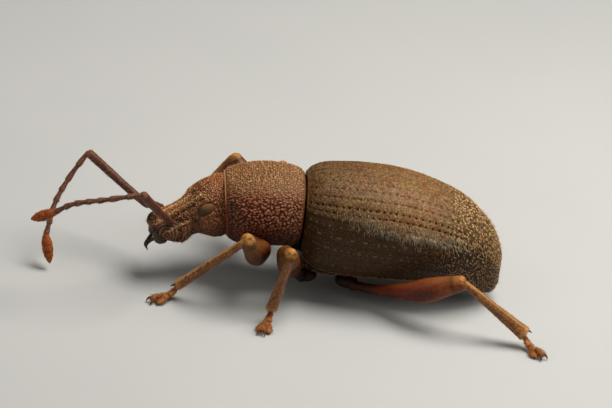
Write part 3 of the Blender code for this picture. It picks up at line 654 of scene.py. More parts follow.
def faces_mesh(name, points, quads, triangles):
    """A mesh in the frame's metres from lists of arrays: design points, quads and triangles."""
    points, quads, triangles = (np.concatenate(arrays) for arrays in (points, quads, triangles))
    mesh = bpy.data.meshes.new(name)
    mesh.vertices.add(len(points))
    mesh.vertices.foreach_set("co", (points * MM + ORIGIN).astype(np.float32).ravel())
    corners = np.concatenate((quads.ravel(), triangles.ravel())).astype(np.int32)
    mesh.loops.add(len(corners))
    mesh.loops.foreach_set("vertex_index", corners)
    starts = np.concatenate((np.arange(len(quads)) * 4, len(quads) * 4 + np.arange(len(triangles)) * 3))
    mesh.polygons.add(len(starts))
    mesh.polygons.foreach_set("loop_start", starts.astype(np.int32))
    mesh.polygons.foreach_set("use_smooth", np.ones(len(starts), bool))
    mesh.update(calc_edges=True)
    return mesh


def link(name, data):
    thing = bpy.data.objects.new(name, data)
    bpy.context.scene.collection.objects.link(thing)
    return thing


def piece(name, mesh, material, nodes=()):
    thing = link(name, mesh)
    mesh.materials.append(material)
    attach(thing, BODY)
    if nodes:
        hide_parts(*nodes)


def smooth_route(knots, count, ends=0.5):
    """Points through the knots by a Catmull-Rom curve, closer together towards the ends."""
    knots = np.array(knots, float)
    knots = np.concatenate(([knots[0] * 2 - knots[1]], knots, [knots[-1] * 2 - knots[-2]]))
    t = np.linspace(0, 1, SPAN_STEPS, endpoint=False)[:, None]
    spans = []
    for a, b, c, d in zip(knots, knots[1:], knots[2:], knots[3:]):
        bend = (a * 2 - b * 5 + c * 4 - d) * t**2 + (b * 3 - a - c * 3 + d) * t**3
        spans.append(b + ((c - a) * t + bend) / 2)
    fine = np.concatenate(spans + [knots[-2:-1]])
    walk = walked(fine[:, :3])
    even = np.linspace(0, 1, count)
    places = (even * (1 - ends) + (0.5 - 0.5 * np.cos(math.pi * even)) * ends) * walk[-1]
    return np.stack([np.interp(places, walk, column) for column in fine.T], axis=1), places


class Limb:
    """A tube along a smooth route with rounded ends, as a grid of rings with its shares and turns."""

    def __init__(self, knots, radii, rings, sides, caps=(0.0, 0.0), flat=1.0, upright=LIMB_UPRIGHT):
        path, walk = smooth_route(np.column_stack((np.array(knots, float), radii)), rings)
        centres, radius, length = path[:, :3], path[:, 3], walk[-1]
        for distance, cap in ((walk, caps[0]), (length - walk, caps[1])):
            if cap:
                radius = radius * np.sqrt(np.clip(1 - np.clip(1 - distance / cap, 0, 1) ** 2, CAP_TIP, 1))
        tangents = unit(np.gradient(centres, axis=0))
        aside = unit(np.cross(tangents[0], upright))
        across = []
        for tangent in tangents:
            aside = unit(aside - tangent * np.dot(aside, tangent))
            across.append(aside)
        across = np.array(across)
        up = np.cross(tangents, across)
        angles = np.linspace(0, 2 * math.pi, sides, endpoint=False)
        cosine, sine = np.cos(angles)[:, None], np.sin(angles)[:, None]
        ring = across[:, None] * cosine + up[:, None] * sine * flat
        self.share = (walk / length)[:, None]
        self.turn = (angles / (2 * math.pi))[None, :]
        self.grid = centres[:, None] + ring * radius[:, None, None]
        self.radius = radius

    def raise_by(self, height):
        """Moves the surface out along its normals, less near the rounded tips."""
        fade = smooth(0.0, TIP_FADE, self.radius)[:, None]
        self.grid = raised(self.grid, height * fade)

    def lattice(self, cells, seed):
        return lattice(self.turn, self.share, cells, seed)

    def ripple(self, seed, **settings):
        return ripple(self.turn, self.share, seed, **settings)


def ball(centre, radii, axes, rings, sides):
    """An ellipsoid as a grid of rings round the second of its axes."""
    polar = np.linspace(POLE_GAP, math.pi - POLE_GAP, rings)[:, None]
    angles = np.linspace(0, 2 * math.pi, sides, endpoint=False)[None, :]
    ring = np.sin(polar)
    along = np.cos(polar) * np.ones_like(angles)
    local = np.stack((ring * np.cos(angles), along, ring * np.sin(angles)), axis=-1)
    return centre + (local * radii) @ np.array(axes).T, local


# Bristles

class Coat:
    """Bristles of one kind over a grid, where the mask says. They may hang down or end above the floor."""

    def __init__(self, kind, grid, mask=1.0, hang=False, floor=None, times=1.0):
        """Times is by how much the kind's number of bristles is multiplied."""
        self.grid, self.mask, self.hang, self.floor = grid, mask, hang, floor
        count, self.length, self.thickness, self.lean = COATS[kind]
        self.count = int(count * times)

    def roots(self, rng):
        """Rings and sides of the grid where bristles stand, drawn by the area round them and the mask."""
        rings, sides = self.grid.shape[:2]
        around, along = np.roll(self.grid, -1, 1) - self.grid, np.gradient(self.grid, axis=0)
        weight = lengths(np.cross(around, along)) * self.mask
        chosen = rng.choice(rings * sides, size=self.count, p=(weight / weight.sum()).ravel())
        return chosen // sides, chosen % sides

    def lines(self, rng, ring, side):
        """Base, middle and tip of each bristle, its thickness, and two directions across it."""
        root, normal = self.grid[ring, side], grid_normals(self.grid)[ring, side]
        lie = unit(np.gradient(self.grid, axis=0))[ring, side]
        if self.hang:
            lie = unit(HANG - normal * (normal @ HANG)[:, None])
        lean = self.lean * rng.uniform(*LEAN_RANGE, self.count)[:, None]
        stray = rng.normal(0, STRAY, (self.count, 3))
        direction = unit(normal * np.cos(lean) + lie * np.sin(lean) + stray * (1 - self.lean / 2))
        length = self.length * rng.uniform(*LENGTH_RANGE, self.count)[:, None]
        thickness = self.thickness * rng.uniform(*THICKNESS_RANGE, self.count)[:, None]
        across = unit(np.cross(direction, normal) + stray * 0.05)
        base = root - normal * thickness * ROOT_DEPTH
        middle = base + direction * length * 0.5
        tip = middle + unit(direction + lie * SAG - normal * 0.12) * length * 0.5
        if self.floor is not None:
            for end in (middle, tip):
                end[:, 2] = np.maximum(end[:, 2], self.floor)
        return base, middle, tip, thickness, across, np.cross(direction, across)

    def corners(self, rng, ring, side):
        """The seven corners of each bristle: three round the base, three round the middle, and the tip."""
        base, middle, tip, thickness, across, third = self.lines(rng, ring, side)
        corners = []
        for centre, width in ((base, 1.0), (middle, MIDDLE_WIDTH)):
            for turn in range(3):
                angle = 2 * math.pi * turn / 3
                outward = across * math.cos(angle) + third * math.sin(angle)
                corners.append(centre + outward * thickness * width)
        return np.stack(corners + [tip], axis=1).reshape(-1, 3)


def bristles(name, coats, finish, seed):
    """Solid tapered bristles of one or more coats as one piece, with its texture places."""
    rng = np.random.default_rng(seed)
    points, quads, triangles, places = [], [], [], []
    strip = 1.0 / len(coats)
    for number, coat in enumerate(coats):
        rings, sides = coat.grid.shape[:2]
        ring, side = coat.roots(rng)
        first = sum(len(array) for array in points) + np.arange(coat.count)[:, None] * CORNERS
        points.append(coat.corners(rng, ring, side))
        for a, b in ((0, 1), (1, 2), (2, 0)):
            quads.append(first + np.array((a, b, b + 3, a + 3)))
            triangles.append(first + np.array((a + 3, b + 3, 6)))
        triangles.append(first + np.array((2, 1, 0)))
        place = np.stack((side / sides, (number + 0.05 + 0.9 * ring / rings) * strip), axis=1)
        places.append(np.repeat(place, CORNERS, axis=0))
    mesh = faces_mesh(name, points, quads, triangles)
    places = np.concatenate(places) * 0.99
    places = places + np.tile(np.array(BRISTLE_PATCH) * PATCH_SIZE, (len(places) // CORNERS, 1))
    corner = np.zeros(len(mesh.loops), np.int32)
    mesh.loops.foreach_get("vertex_index", corner)
    mesh.uv_layers.new(name="OFBake").data.foreach_set("uv", places[corner].astype(np.float32).ravel())
    piece(name, mesh, BRISTLE_MATERIALS[finish])


# Materials

def colour(screen):
    """Linear colour from the usual 0 to 255 screen values."""
    return tuple((value / 255) ** 2.2 for value in screen) + (1.0,)


class Nodes:
    """Short names for the node tree of one material."""

    def __init__(self, name):
        self.material = bpy.data.materials.new(name)
        self.material.use_nodes = True
        self.tree = self.material.node_tree
        self.shader = self.tree.nodes["Principled BSDF"].inputs
        self.place = self.tree.nodes.new("ShaderNodeTexCoord").outputs["Object"]

    def set(self, socket, value):
        if isinstance(value, bpy.types.NodeSocket):
            self.tree.links.new(value, socket)
        else:
            socket.default_value = value

    def node(self, kind, **values):
        """A new node with values or links for its sockets, whose names have _ for each space."""
        node = self.tree.nodes.new("ShaderNode" + kind)
        for label, value in values.items():
            self.set(node.inputs[label.replace("_", " ")], value)
        return node

    def noise(self, size, detail=3.0, rough=0.55):
        """Noise with features of about a size in millimetres."""
        values = {"Vector": self.place, "Scale": 1 / (size * MM), "Detail": detail, "Roughness": rough}
        return self.node("TexNoise", **values).outputs["Fac"]

    def cells(self, size):
        return self.node("TexVoronoi", Vector=self.place, Scale=1 / (size * MM)).outputs["Distance"]

    def attribute(self, name):
        node = self.node("Attribute")
        node.attribute_name = name
        return node.outputs["Fac"]

    def spread(self, value, span, to_span=(0.0, 1.0)):
        """The value with one span mapped to another."""
        ends = dict(zip(("From_Min", "From_Max", "To_Min", "To_Max"), (*span, *to_span)))
        return self.node("MapRange", Value=value, **ends).outputs["Result"]

    def mix(self, factor, first, second):
        node = self.node("Mix")
        node.data_type = "RGBA"
        sockets = {socket.identifier: socket for socket in node.inputs}
        for label, value in (("Factor_Float", factor), ("A_Color", first), ("B_Color", second)):
            self.set(sockets[label], value)
        return next(socket for socket in node.outputs if socket.identifier == "Result_Color")

    def bump(self, height, distance, strength=1.0, **below):
        """A normal with the height's relief, over the one below if there is one."""
        values = {"Height": height, "Distance": distance * MM, "Strength": strength, **below}
        return self.node("Bump", **values).outputs["Normal"]


def chitin(
    name, main, patch, zone, pit, crest,
    rough, grain, relief, patch_size=0.5, coat=0.0, specular=0.25, speckle=0.30,
):
    """Hard skin: a mottled main colour, a second colour by zone, a darker colour in pits that is mostly
    painted shade, a painted highlight colour on crests, and fine surface relief.
    """
    main, patch, zone, pit, crest = (colour(screen) for screen in (main, patch, zone, pit, crest))
    n = Nodes(name)
    base = n.mix(n.spread(n.noise(patch_size, 4.0, 0.6), MOTTLE_SPAN), main, patch)
    base = n.mix(n.attribute("zone"), base, zone)
    speck = n.spread(n.noise(grain * 2.2, 2.0, 0.5), SPECKLE_SPAN, (0.0, speckle))
    base = n.mix(speck, base, pit)
    base = n.mix(n.attribute("crest"), base, crest)
    base = n.mix(n.attribute("pit"), base, pit)
    n.set(n.shader["Base Color"], base)
    n.set(n.shader["Roughness"], n.spread(n.noise(grain * 6, 3.0, 0.6), ROUGHNESS_SPAN, rough))
    fine = n.bump(n.noise(grain, 2.0, 0.6), relief)
    n.set(n.shader["Normal"], n.bump(n.cells(grain * 1.6), relief * 0.8, 0.7, Normal=fine))
    n.set(n.shader["Coat Weight"], coat)
    n.set(n.shader["Coat Roughness"], COAT_ROUGHNESS)
    n.set(n.shader["Specular IOR Level"], specular)
    return n.material


def bristle_material(name, main, patch):
    n = Nodes(name)
    n.set(n.shader["Base Color"], n.mix(n.spread(n.noise(0.4), BRISTLE_SPAN), colour(main), colour(patch)))
    n.set(n.shader["Roughness"], n.spread(n.noise(0.2), ROUGHNESS_SPAN, (0.3, 0.5)))
    n.set(n.shader["Sheen Weight"], BRISTLE_SHEEN)
    return n.material


MATERIALS = {name: chitin(name, **finish) for name, finish in FINISHES.items()}
BRISTLE_MATERIALS = {
    name: bristle_material(name + "_bristles", *colours) for name, colours in BRISTLE_COLOURS.items()
}


# Trunk

def trunk_rows(table, xs, angles):
    """Trunk sections at many stations, as a grid of points."""
    rows = sample(table, xs)
    power = np.where(np.sin(angles) > 0, TRUNK_POWER, BELLY_POWER)
    centre, half_height = centre_and_half(rows)
    across, up = superellipse(angles, rows[:, 1:2], half_height[:, None], power)
    along = np.broadcast_to(np.asarray(xs)[:, None], across.shape)
    return np.stack((along, across, centre[:, None] + up), axis=-1)


def margin_angles(xs, level_shift=0.0):
    """Angle below the horizontal at which the elytra's margin lies, at each station."""
    rows = sample(HIND_STATIONS, xs)
    centre, half_height = centre_and_half(rows)
    share = np.clip((centre - rows[:, 4] - level_shift) / half_height, 0.0, 0.999)
    return np.arcsin(share ** (BELLY_POWER / 2))


def bridge(start, end):
    """Rows of points between two edges of a grid, without the edges."""
    share = np.linspace(0, 1, LID_ROWS + 2)[1:-1][None, :, None]
    return start * (1 - share) + end * share, share


def puncture_rows(share, walk, girth, seed):
    """How deep a place lies in the punctures and in the grooves, and how near it is to a dot between them."""
    rng = np.random.default_rng(seed)
    pits, grooves, dots = (np.zeros(share.shape) for _ in range(3))
    size = np.clip(girth / FULL_GIRTH, 0.35, 1.0)
    edges = (*STRIA_SHARES, 1.0)
    for stria, following in zip(edges, edges[1:]):
        aside = (share - stria) * girth
        place = walk / PUNCTURE_PITCH + rng.random()
        number = np.round(place).astype(int) % PUNCTURE_KINDS
        sizes = rng.uniform(*PUNCTURE_SIZES, PUNCTURE_KINDS)[number]
        slips = rng.uniform(-PUNCTURE_SLIP, PUNCTURE_SLIP, PUNCTURE_KINDS)[number]
        ahead = (place - np.round(place) - slips) * PUNCTURE_PITCH
        pits = np.maximum(pits, np.exp(-((np.hypot(ahead, aside) / (PUNCTURE_RADIUS * sizes * size)) ** 4)))
        grooves = np.maximum(grooves, bell(aside, GROOVE_RADIUS * size))
        beside = (share - (stria + following) / 2) * girth
        ahead = (place - np.floor(place) - 0.5 + slips * 2) * PUNCTURE_PITCH
        dots = np.maximum(dots, np.exp(-((np.hypot(ahead, beside) / (DOT_RADIUS * sizes * size)) ** 4)))
    return pits, grooves, dots


def fold(left, right, lid):
    """One row across both wing cases and the lid that closes them below."""
    return np.concatenate((left[:, :0:-1], right, lid), axis=1)


def elytra():
    """The fused wing cases, with ten rows of punctures on each side, as one closed shell."""
    xs = even_places(HIND_STATIONS, ELYTRA_ALONG)
    reach = math.pi / 2 + margin_angles(xs)
    share = np.linspace(0, 1, ELYTRA_ACROSS)[None, :]
    right = trunk_rows(HIND_STATIONS, xs, math.pi / 2 - share * reach[:, None])
    left = right * (1, -1, 1)
    steps = lengths(np.diff(right, axis=1))
    girth = steps.sum(axis=1, keepdims=True)
    share = np.concatenate((np.zeros((len(xs), 1)), np.cumsum(steps, axis=1)), axis=1) / girth
    walk = walked(right[:, ELYTRA_ACROSS // 3])[:, None]
    border = share - np.interp(xs, *np.transpose(BORDER_LINE))[:, None]
    cases = [wing_case(share, walk, girth, border, xs[:, None], seed) for seed in WING_SEEDS]
    lid, along_lid = bridge(right[:, -1:], left[:, -1:])
    lid = lid + LID_ARCH * np.sin(math.pi * along_lid)
    flat = np.zeros(lid.shape[:2])
    height, pit, zone, crest = (fold(a, b, flat + fill) for a, b, fill in zip(*cases, LID_VALUES))
    grid = raised(fold(left, right, lid), height)
    solid = Solid()
    solid.add(grid, pit, zone, crest)
    solid.show("elytra_shell", "shell", ["elytra"])
    elytra_coats(grid, pit, fold(border, border, flat), xs[:, None])


def elytra_coats(grid, pit, border, xs):
    """Short hairs, scales below the border, longer hairs at the tail, and a fringe along the border of the
    flank's painted shade.
    """
    open_skin = smooth(0.1, 0.5, xs) * np.where(grid[..., 2] > BARE_LEVEL, 0.0, 1.0)
    open_skin[:, -LID_ROWS:] = 0
    between = open_skin * (1 - np.clip(pit * 1.5, 0, 1))
    scales = open_skin * smooth(0.05, 0.12, border) * (0.06 + smooth(2.6, 5.4, xs))
    clumps = 0.35 + 0.65 * smooth(-0.3, 0.4, ripple(border, xs / WAVE_LENGTH, 23, waves=8, reach=16))
    fringe = bell(border - FRINGE_PLACE, FRINGE_WIDTH) * smooth(0.8, 2.4, xs) * smooth(6.0, 4.8, xs) * clumps
    coats = [
        Coat("wing_hair", grid, between),
        Coat("wing_scale", grid, scales),
        Coat("wing_tail", grid, between * smooth(4.8, 6.4, xs)),
    ]
    bristles("elytra_bristles", coats, "gold", seed=21)
    coats = [Coat("wing_fringe", grid, open_skin * fringe, hang=True)]
    bristles("elytra_fringe", coats, "grey", seed=22)


def wing_case(share, walk, girth, border, xs, seed):
    """Height, pit, zone and crest values over one wing case; zone is the flank's painted shade. Border is the
    share below the border of that shade.
    """
    small = np.clip(girth / FULL_GIRTH, 0.2, 1.0)
    front, rear = smooth(0.0, 0.22, walk), smooth(*GRANULE_ONSET, xs)
    wave = ripple(share * 0.5, walk / WAVE_LENGTH, seed + 9)
    # The flank below the border takes the dark zone colour: painted shade under the lit top.
    flank = smooth(-0.02, 0.05, border + 0.02 * wave)
    pits, grooves, dots = puncture_rows(share, walk, girth, seed)
    between = np.interp(share, (0.0, *STRIA_SHARES, 1.0), range(len(STRIA_SHARES) + 2)) % 1.0
    crown = np.sqrt(np.clip(1 - (2 * between - 1) ** 4, 0, 1))
    bent = share + 0.004 * ripple(share * 0.5, walk / 5, seed + 3, waves=6, reach=12)
    coarse, coarse_mark = lattice(bent, walk / walk[-1], COARSE_CELLS, seed + 5)
    fine, fine_mark = lattice(bent, walk / walk[-1], FINE_CELLS, seed + 6)
    bumps = dome(coarse, 0.46) * (0.35 + 0.65 * coarse_mark) * np.clip(0.12 + rear, 0, 1)
    grains = dome(fine, 0.50) * (0.4 + 0.6 * fine_mark)
    specks = dome(fine, 0.44) * smooth(0.50, 0.62, fine_mark)
    clear_rows = bell(share - CLEAR_ROWS, 0.045) * smooth(5.6, 4.6, xs)
    suture = bell(share * girth, SUTURE_WIDTH)

    height = INTERVAL_CROWN * crown - GROOVE_DEPTH * grooves - SUTURE_DEPTH * suture
    height = height - PUNCTURE_DEPTH * pits * (0.35 + 0.65 * clear_rows)
    granules = BUMP_RISE * bumps + GRAIN_RISE * grains + SPECK_RISE * specks * rear
    height = height + granules * (1 - pits) + DOT_RISE * dots * flank
    height = (height + MARGIN_RISE * bell((1 - share) * girth, MARGIN_WIDTH)) * small * front
    height = height + WAVE_RISE * wave * front

    top = 1 - flank
    # Painted shade: a darker colour in the gaps between granules, in the punctures and in the suture.
    gaps = np.clip(1 - 1.6 * np.maximum(bumps, 0.7 * grains * (1 - rear)), 0, 1)
    row_mark = 0.14 + 0.20 * coarse_mark + 0.58 * clear_rows
    blotch = dome(coarse, 0.62) * smooth(0.42, 0.20, coarse_mark)
    pit = pits * row_mark * top * (1 - 0.5 * rear) + 0.5 * suture
    pit = pit + gaps * (0.18 + 0.52 * rear) * (1 - 0.1 * flank)
    # The blotches are the skin's own mottling; the top also darkens towards the front as painted shade.
    pit += 0.26 * blotch * top + (0.06 + 0.34 * smooth(3.8, 0.6, xs)) * top
    # Painted highlights: glints on the rear flank's granules, light tops of granules and specks, and pale dots
    # on the flank.
    glints = dome(coarse, 0.34) * smooth(0.50, 0.66, coarse_mark)
    crest = (0.92 * bumps**1.5 * rear + 0.12 * grains + 0.30 * specks) * (1 - pits) * top
    crest = crest + flank * (0.30 * dots * (1 - rear) + 0.75 * glints * rear)
    return height, pit * (0.55 + 0.45 * front), flank * 0.97, crest


def pronotum_grid():
    """The shield's plain skin, its front edge sloping back, with the way along, the turn and the level."""
    xs = even_places(PRONOTUM_STATIONS, SHIELD_ALONG)
    turn = turns(SHIELD_AROUND)
    angles = 2 * math.pi * turn * np.ones((len(xs), 1))
    grid = trunk_rows(PRONOTUM_STATIONS, xs, angles)
    front_x, _, front_top, _ = PRONOTUM_STATIONS[0]
    fade = np.clip((SLANT_END - grid[..., 0]) / (SLANT_END - front_x), 0, 1)
    grid[..., 0] += SLANT * fade * (front_top - grid[..., 2])
    return grid, ((xs - xs[0]) / (xs[-1] - xs[0]))[:, None], turn, np.sin(angles)


def pronotum_values(along, turn, level):
    """Height, pit, zone and crest values over the shield, and where its hairs stand."""
    bent_turn = turn + 0.008 * ripple(turn, along, 31, waves=6, reach=8)
    bent_along = along + 0.016 * ripple(turn, along, 32, waves=6, reach=8)
    small, small_mark = lattice(bent_turn, bent_along, TOP_CELLS, 33, jitter=0.72)
    large, large_mark = lattice(bent_turn, bent_along, SIDE_CELLS, 36, jitter=0.95)
    body = smooth(0.012, 0.045, along) * smooth(0.008, 0.035, 1 - along)
    side, below = smooth(0.94, 0.46, level), smooth(-0.55, -0.80, level)
    small_bumps = dome(small, 0.46) * (0.55 + 0.45 * small_mark)
    large_bumps = dome(large, 0.45) * (0.60 + 0.40 * large_mark)
    bumps = (small_bumps * (1 - side) + large_bumps * side) * (1 - 0.75 * below)
    relief = TOP_GRANULE_RISE * small_bumps * (1 - side) + SIDE_GRANULE_RISE * large_bumps * side
    height = (relief * (1 - 0.75 * below) + 0.012 * ripple(turn, along, 34)) * body

    # Painted shade: a darker colour between the granules and over the lower part.
    gaps = np.clip(1 - bumps * 2.2, 0, 1)
    pit = gaps * body * (0.30 + 0.40 * side) * (1 - 0.4 * below) + 0.3 * smooth(-0.2, -0.7, level)
    pit += 0.32 * smooth(0.26, 0.03, along) * smooth(0.75, 0.35, level) * body
    mark = small_mark * (1 - side) + large_mark * side
    # Painted highlights on the granule tops, fading lower down, and along the upper part of the front rim.
    crest = bumps**2 * body * (0.42 + 0.42 * mark) * (1 - 0.40 * side) * smooth(-0.5, 0.2, level)
    rim = smooth(0.020, 0.006, along) * smooth(0.20, 0.75, level)
    zone = side * (0.55 + 0.45 * smooth(1.0, 0.35, along))
    return height, (pit, zone, np.maximum(crest, rim * 0.8)), body * gaps


def pronotum():
    """The granulate shield behind the head, with a plain narrow rim at each end."""
    grid, along, turn, level = pronotum_grid()
    height, values, hairy = pronotum_values(along, turn, level)
    grid = raised(grid, height)
    first, middle = grid[0], grid[0].mean(axis=0)
    inner = [first * (1 - k) + middle * k + np.array((depth, 0, 0)) for k, depth in INNER_RIM]
    grid = np.concatenate((np.array(inner), grid))
    flat = np.ones((len(inner), SHIELD_AROUND))
    solid = Solid()
    solid.add(grid, *(np.concatenate((flat * fill, value)) for fill, value in zip(RIM_VALUES, values)))
    solid.show("pronotum_shield", "thorax", ["pronotum"])
    coats = [Coat("shield", grid, np.concatenate((flat * 0, hairy)))]
    bristles("pronotum_bristles", coats, "pale", seed=35)


def waist():
    """The narrow ring of the body between the shield and the wing cases, near black as painted shade in the
    gap.
    """
    xs = np.linspace(*WAIST_SPAN, WAIST_RINGS)[:, None]
    across, up = superellipse(2 * math.pi * turns(WAIST_SIDES), WAIST_WIDTH, WAIST_HEIGHT, TRUNK_POWER)
    shape = 1 + 0.01 * np.cos((xs - WAIST_SPAN[0]) * 20)
    along = np.broadcast_to(xs, (WAIST_RINGS, WAIST_SIDES))
    solid = Solid()
    solid.add(np.stack((along, across * shape, WAIST_LEVEL + up * shape), axis=-1), 0.3)
    solid.show("waist_ring", "waist")


def plate_edges(xs, edges):
    """Grooves at the edges between belly plates, and the rise of each plate before its edge."""
    groove = sum(bell(xs - edge, 0.035) for edge in edges)
    lap = sum(smooth(edge - 0.30, edge - 0.03, xs) * smooth(edge + 0.04, edge, xs) for edge in edges)
    return groove, lap


def underside(name, start, end, node, slot, edges, keel_depth, count):
    """A stretch of the underside from inside one wing case margin to inside the other."""
    places = np.linspace(start, end, count)
    xs = places[:, None]
    first = margin_angles(places, MARGIN_TUCK)[:, None]
    share = np.linspace(0, 1, BELLY_SIDES)[None, :]
    grid = trunk_rows(HIND_STATIONS, places, -first - (math.pi - 2 * first) * share)
    cells = (BELLY_CELLS, max(4, int((end - start) / BELLY_CELL_LENGTH)))
    distance, mark = lattice(share, (xs - start) / (end - start), cells, 41)
    pits = dome(distance, 0.34) * (0.4 + 0.6 * mark)
    groove, lap = plate_edges(xs, edges)
    tuck = bell(np.minimum(share, 1 - share), 0.05) * 0.07
    keel = bell(share - 0.5, 0.012) * keel_depth
    height = 0.030 * lap - 0.06 * groove - 0.012 * pits - tuck - keel
    height = height + 0.012 * ripple(share, xs / 4, 42)
    lid, _ = bridge(grid[:, -1:], grid[:, :1])
    whole = np.concatenate((grid, lid), axis=1)
    flat = np.zeros((count, LID_ROWS))
    whole = raised(whole, np.concatenate((height, flat), axis=1))
    pit = np.concatenate((np.clip(pits * 0.6 + groove, 0, 1), flat + 0.5), axis=1)
    solid = Solid()
    solid.add(whole, pit)
    solid.show(name, "belly", [node])
    mask = np.concatenate((np.ones(grid.shape[:2]), flat), axis=1)
    bristles(name + "_bristles", [Coat("belly", whole, mask, times=end - start)], "pale", seed=43)


# Head

def head_axes():
    """Columns forwards, left and up, in design space."""
    level = math.cos(HEAD_PITCH)
    forward = Vector((-math.cos(HEAD_YAW) * level, -math.sin(HEAD_YAW) * level, -math.sin(HEAD_PITCH)))
    left = Vector((0, 0, 1)).cross(forward).normalized()
    return np.array(Matrix((forward, left, forward.cross(left))).transposed())


HEAD_AXES = head_axes()
MOUTH_NORMAL = np.array((math.cos(MOUTH_SLOPE), 0.0, -math.sin(MOUTH_SLOPE))) @ HEAD_AXES.T


def head_place(local):
    return NECK + np.asarray(local, float) @ HEAD_AXES.T


def line_distance(points, route):
    """Distance from each point to a broken line."""
    nearest = np.full(points.shape[:-1], FAR)
    for start, end in zip(np.array(route[:-1]), np.array(route[1:])):
        step = end - start
        t = np.clip(((points - start) @ step) / (step @ step), 0, 1)
        nearest = np.minimum(nearest, lengths(points - (start + t[..., None] * step)))
    return nearest


def head_grid():
    """The head's plain skin in its own axes, with rings that lean towards the mouth's sloping face."""
    steps = even_places(HEAD_STATIONS, HEAD_ALONG, end=MOUTH_PLACE[0])
    turn = turns(HEAD_AROUND)
    lean = math.tan(MOUTH_SLOPE) * smooth(MOUTH_FROM, MOUTH_PLACE[0], steps)[:, None]
    s = np.repeat(steps[:, None], HEAD_AROUND, 1)
    for _ in range(LEAN_ROUNDS):
        rows = sample(HEAD_STATIONS, s.ravel()).reshape(*s.shape, 4)
        centre, half_height = centre_and_half(rows)
        across, up = superellipse(2 * math.pi * turn, rows[..., 1], half_height, HEAD_POWER)
        blunt = 1 - TIP_ROUNDING * smooth(*TIP_SPAN, steps)[:, None] ** 2
        across, up = across * blunt, up * blunt
        s = steps[:, None] + lean * np.minimum(centre + up - MOUTH_PLACE[2], MOUTH_TOP)
    across = across * (1 - HEAD_TAPER * np.maximum(up / half_height, 0))
    return np.stack((s, across, centre + up), axis=-1), turn


def head_form(mirrored):
    """Height, pit and crest values of the marks and lines that both sides of the head share."""
    height, pit, crest = (np.zeros(mirrored.shape[:-1]) for _ in range(3))
    # Sunk marks and lines get a darker colour as painted shade, raised lines a painted highlight.
    for place, radii, rise in HEAD_MARKS:
        amount = bell(lengths((mirrored - place) / radii))
        height += rise * amount
        pit += amount * (0.7 if rise < 0 else 0.0)
    for route, width, rise in HEAD_LINES:
        amount = bell(line_distance(mirrored, route), width)
        height += rise * amount
        pit += amount * (0.60 if rise < 0 else 0.0)
        crest += amount * (0.80 if rise > 0 else 0.0)
    return height, pit, crest


def cheek_lines(mirrored, turn, share):
    """Where each cheek lies, the curved lines round it, and the dark patch they lie in."""
    place, reach, step = SWIRL
    far = lengths(mirrored - place) + 0.05 * ripple(turn, share, 58, waves=6, reach=9)
    cheek = smooth(reach, reach * 0.7, far)
    return cheek, np.cos(2 * math.pi * far / step) * cheek, smooth(reach * 1.25, reach * 0.8, far)


def head_granules(turn, share, cheek):
    """Granules with a number for each, and fine strokes."""
    bent = turn + 0.004 * ripple(turn, share, 56, waves=5, reach=6)
    bent_share = share + 0.006 * ripple(turn, share, 57, waves=5, reach=6)
    distance, mark = lattice(bent, bent_share, HEAD_CELLS, 51, jitter=0.75)
    strokes, stroke_mark = lattice(turn + 0.006 * ripple(turn, share, 52), share, STROKE_CELLS, 53)
    granules = dome(distance, 0.46) * (0.5 + 0.5 * mark) * (1 - 0.55 * cheek)
    return granules, mark, bell(strokes, 0.30) * stroke_mark


def head_values(local, mirrored, turn):
    """Height, pit, zone and crest values of the head's skin, and where its hairs stand."""
    s, share = local[..., 0], (np.arange(HEAD_ALONG) / (HEAD_ALONG - 1))[:, None]
    height, pit, crest = head_form(mirrored)
    eye = lengths((mirrored - EYE_PLACE) / EYE_RADII)
    rim = bell(eye - 1.10, 0.07)
    cheek, swirl, patch = cheek_lines(mirrored, turn, share)
    height += -0.030 * rim + 0.012 * bell(eye - 1.40, 0.14)
    height += 0.020 * swirl
    pit += 0.50 * patch
    pit += 0.25 * rim

    level = np.sin(2 * math.pi * turn) * np.ones_like(share)
    above, rear, plain = smooth(-0.1, 0.5, level), smooth(-0.55, -0.40, s), smooth(1.0, 1.35, eye)
    granules, mark, scratches = head_granules(turn, share, cheek)
    height += HEAD_GRANULE_RISE * granules * (0.55 + 0.45 * above) * plain * rear
    height += (0.012 * scratches * (1 - above) + 0.008 * ripple(turn, share, 54)) * rear
    # Painted shade between the granules, and painted highlights on the curved lines and on the granule tops,
    # more on the upper side.
    pit += 0.50 * np.clip(1 - 2.2 * granules, 0, 1) * (0.6 + 0.4 * above) * plain * (1 - 0.6 * cheek)
    crest = crest * (0.50 + 0.50 * granules) + 0.55 * np.maximum(swirl, 0) ** 3
    crest = crest + 0.85 * granules**2 * (0.50 + 0.50 * above) * mark

    # A warmer colour over the rear of the head's top, and a painted golden highlight near the rostrum's tip on
    # each side.
    spot = lengths((mirrored - GLINT_SPOT) / GLINT_RADII)
    warm_and_glint = smooth(0.15, -0.25, s) * 0.42 * above + 0.6 * bell(spot)
    crest += 0.5 * bell(spot * 1.5)
    # Painted shade on the far, right side of the rostrum's tip.
    pit += 0.8 * bell(lengths((local - SHADE_LOBE) / SHADE_REACH))
    hairy = rear * (1 - np.clip(pit, 0, 1)) * np.where(eye < 1.35, 0.0, 1.0)
    # Painted shade on the head's underside and below the rostrum's tip.
    under_shade = 0.40 * smooth(-0.05, -0.5, level)
    under_shade = under_shade + 0.45 * smooth(2.12, 2.28, s) * smooth(0.34, 0.20, local[..., 2])
    return height, (pit + under_shade, warm_and_glint, crest), hairy


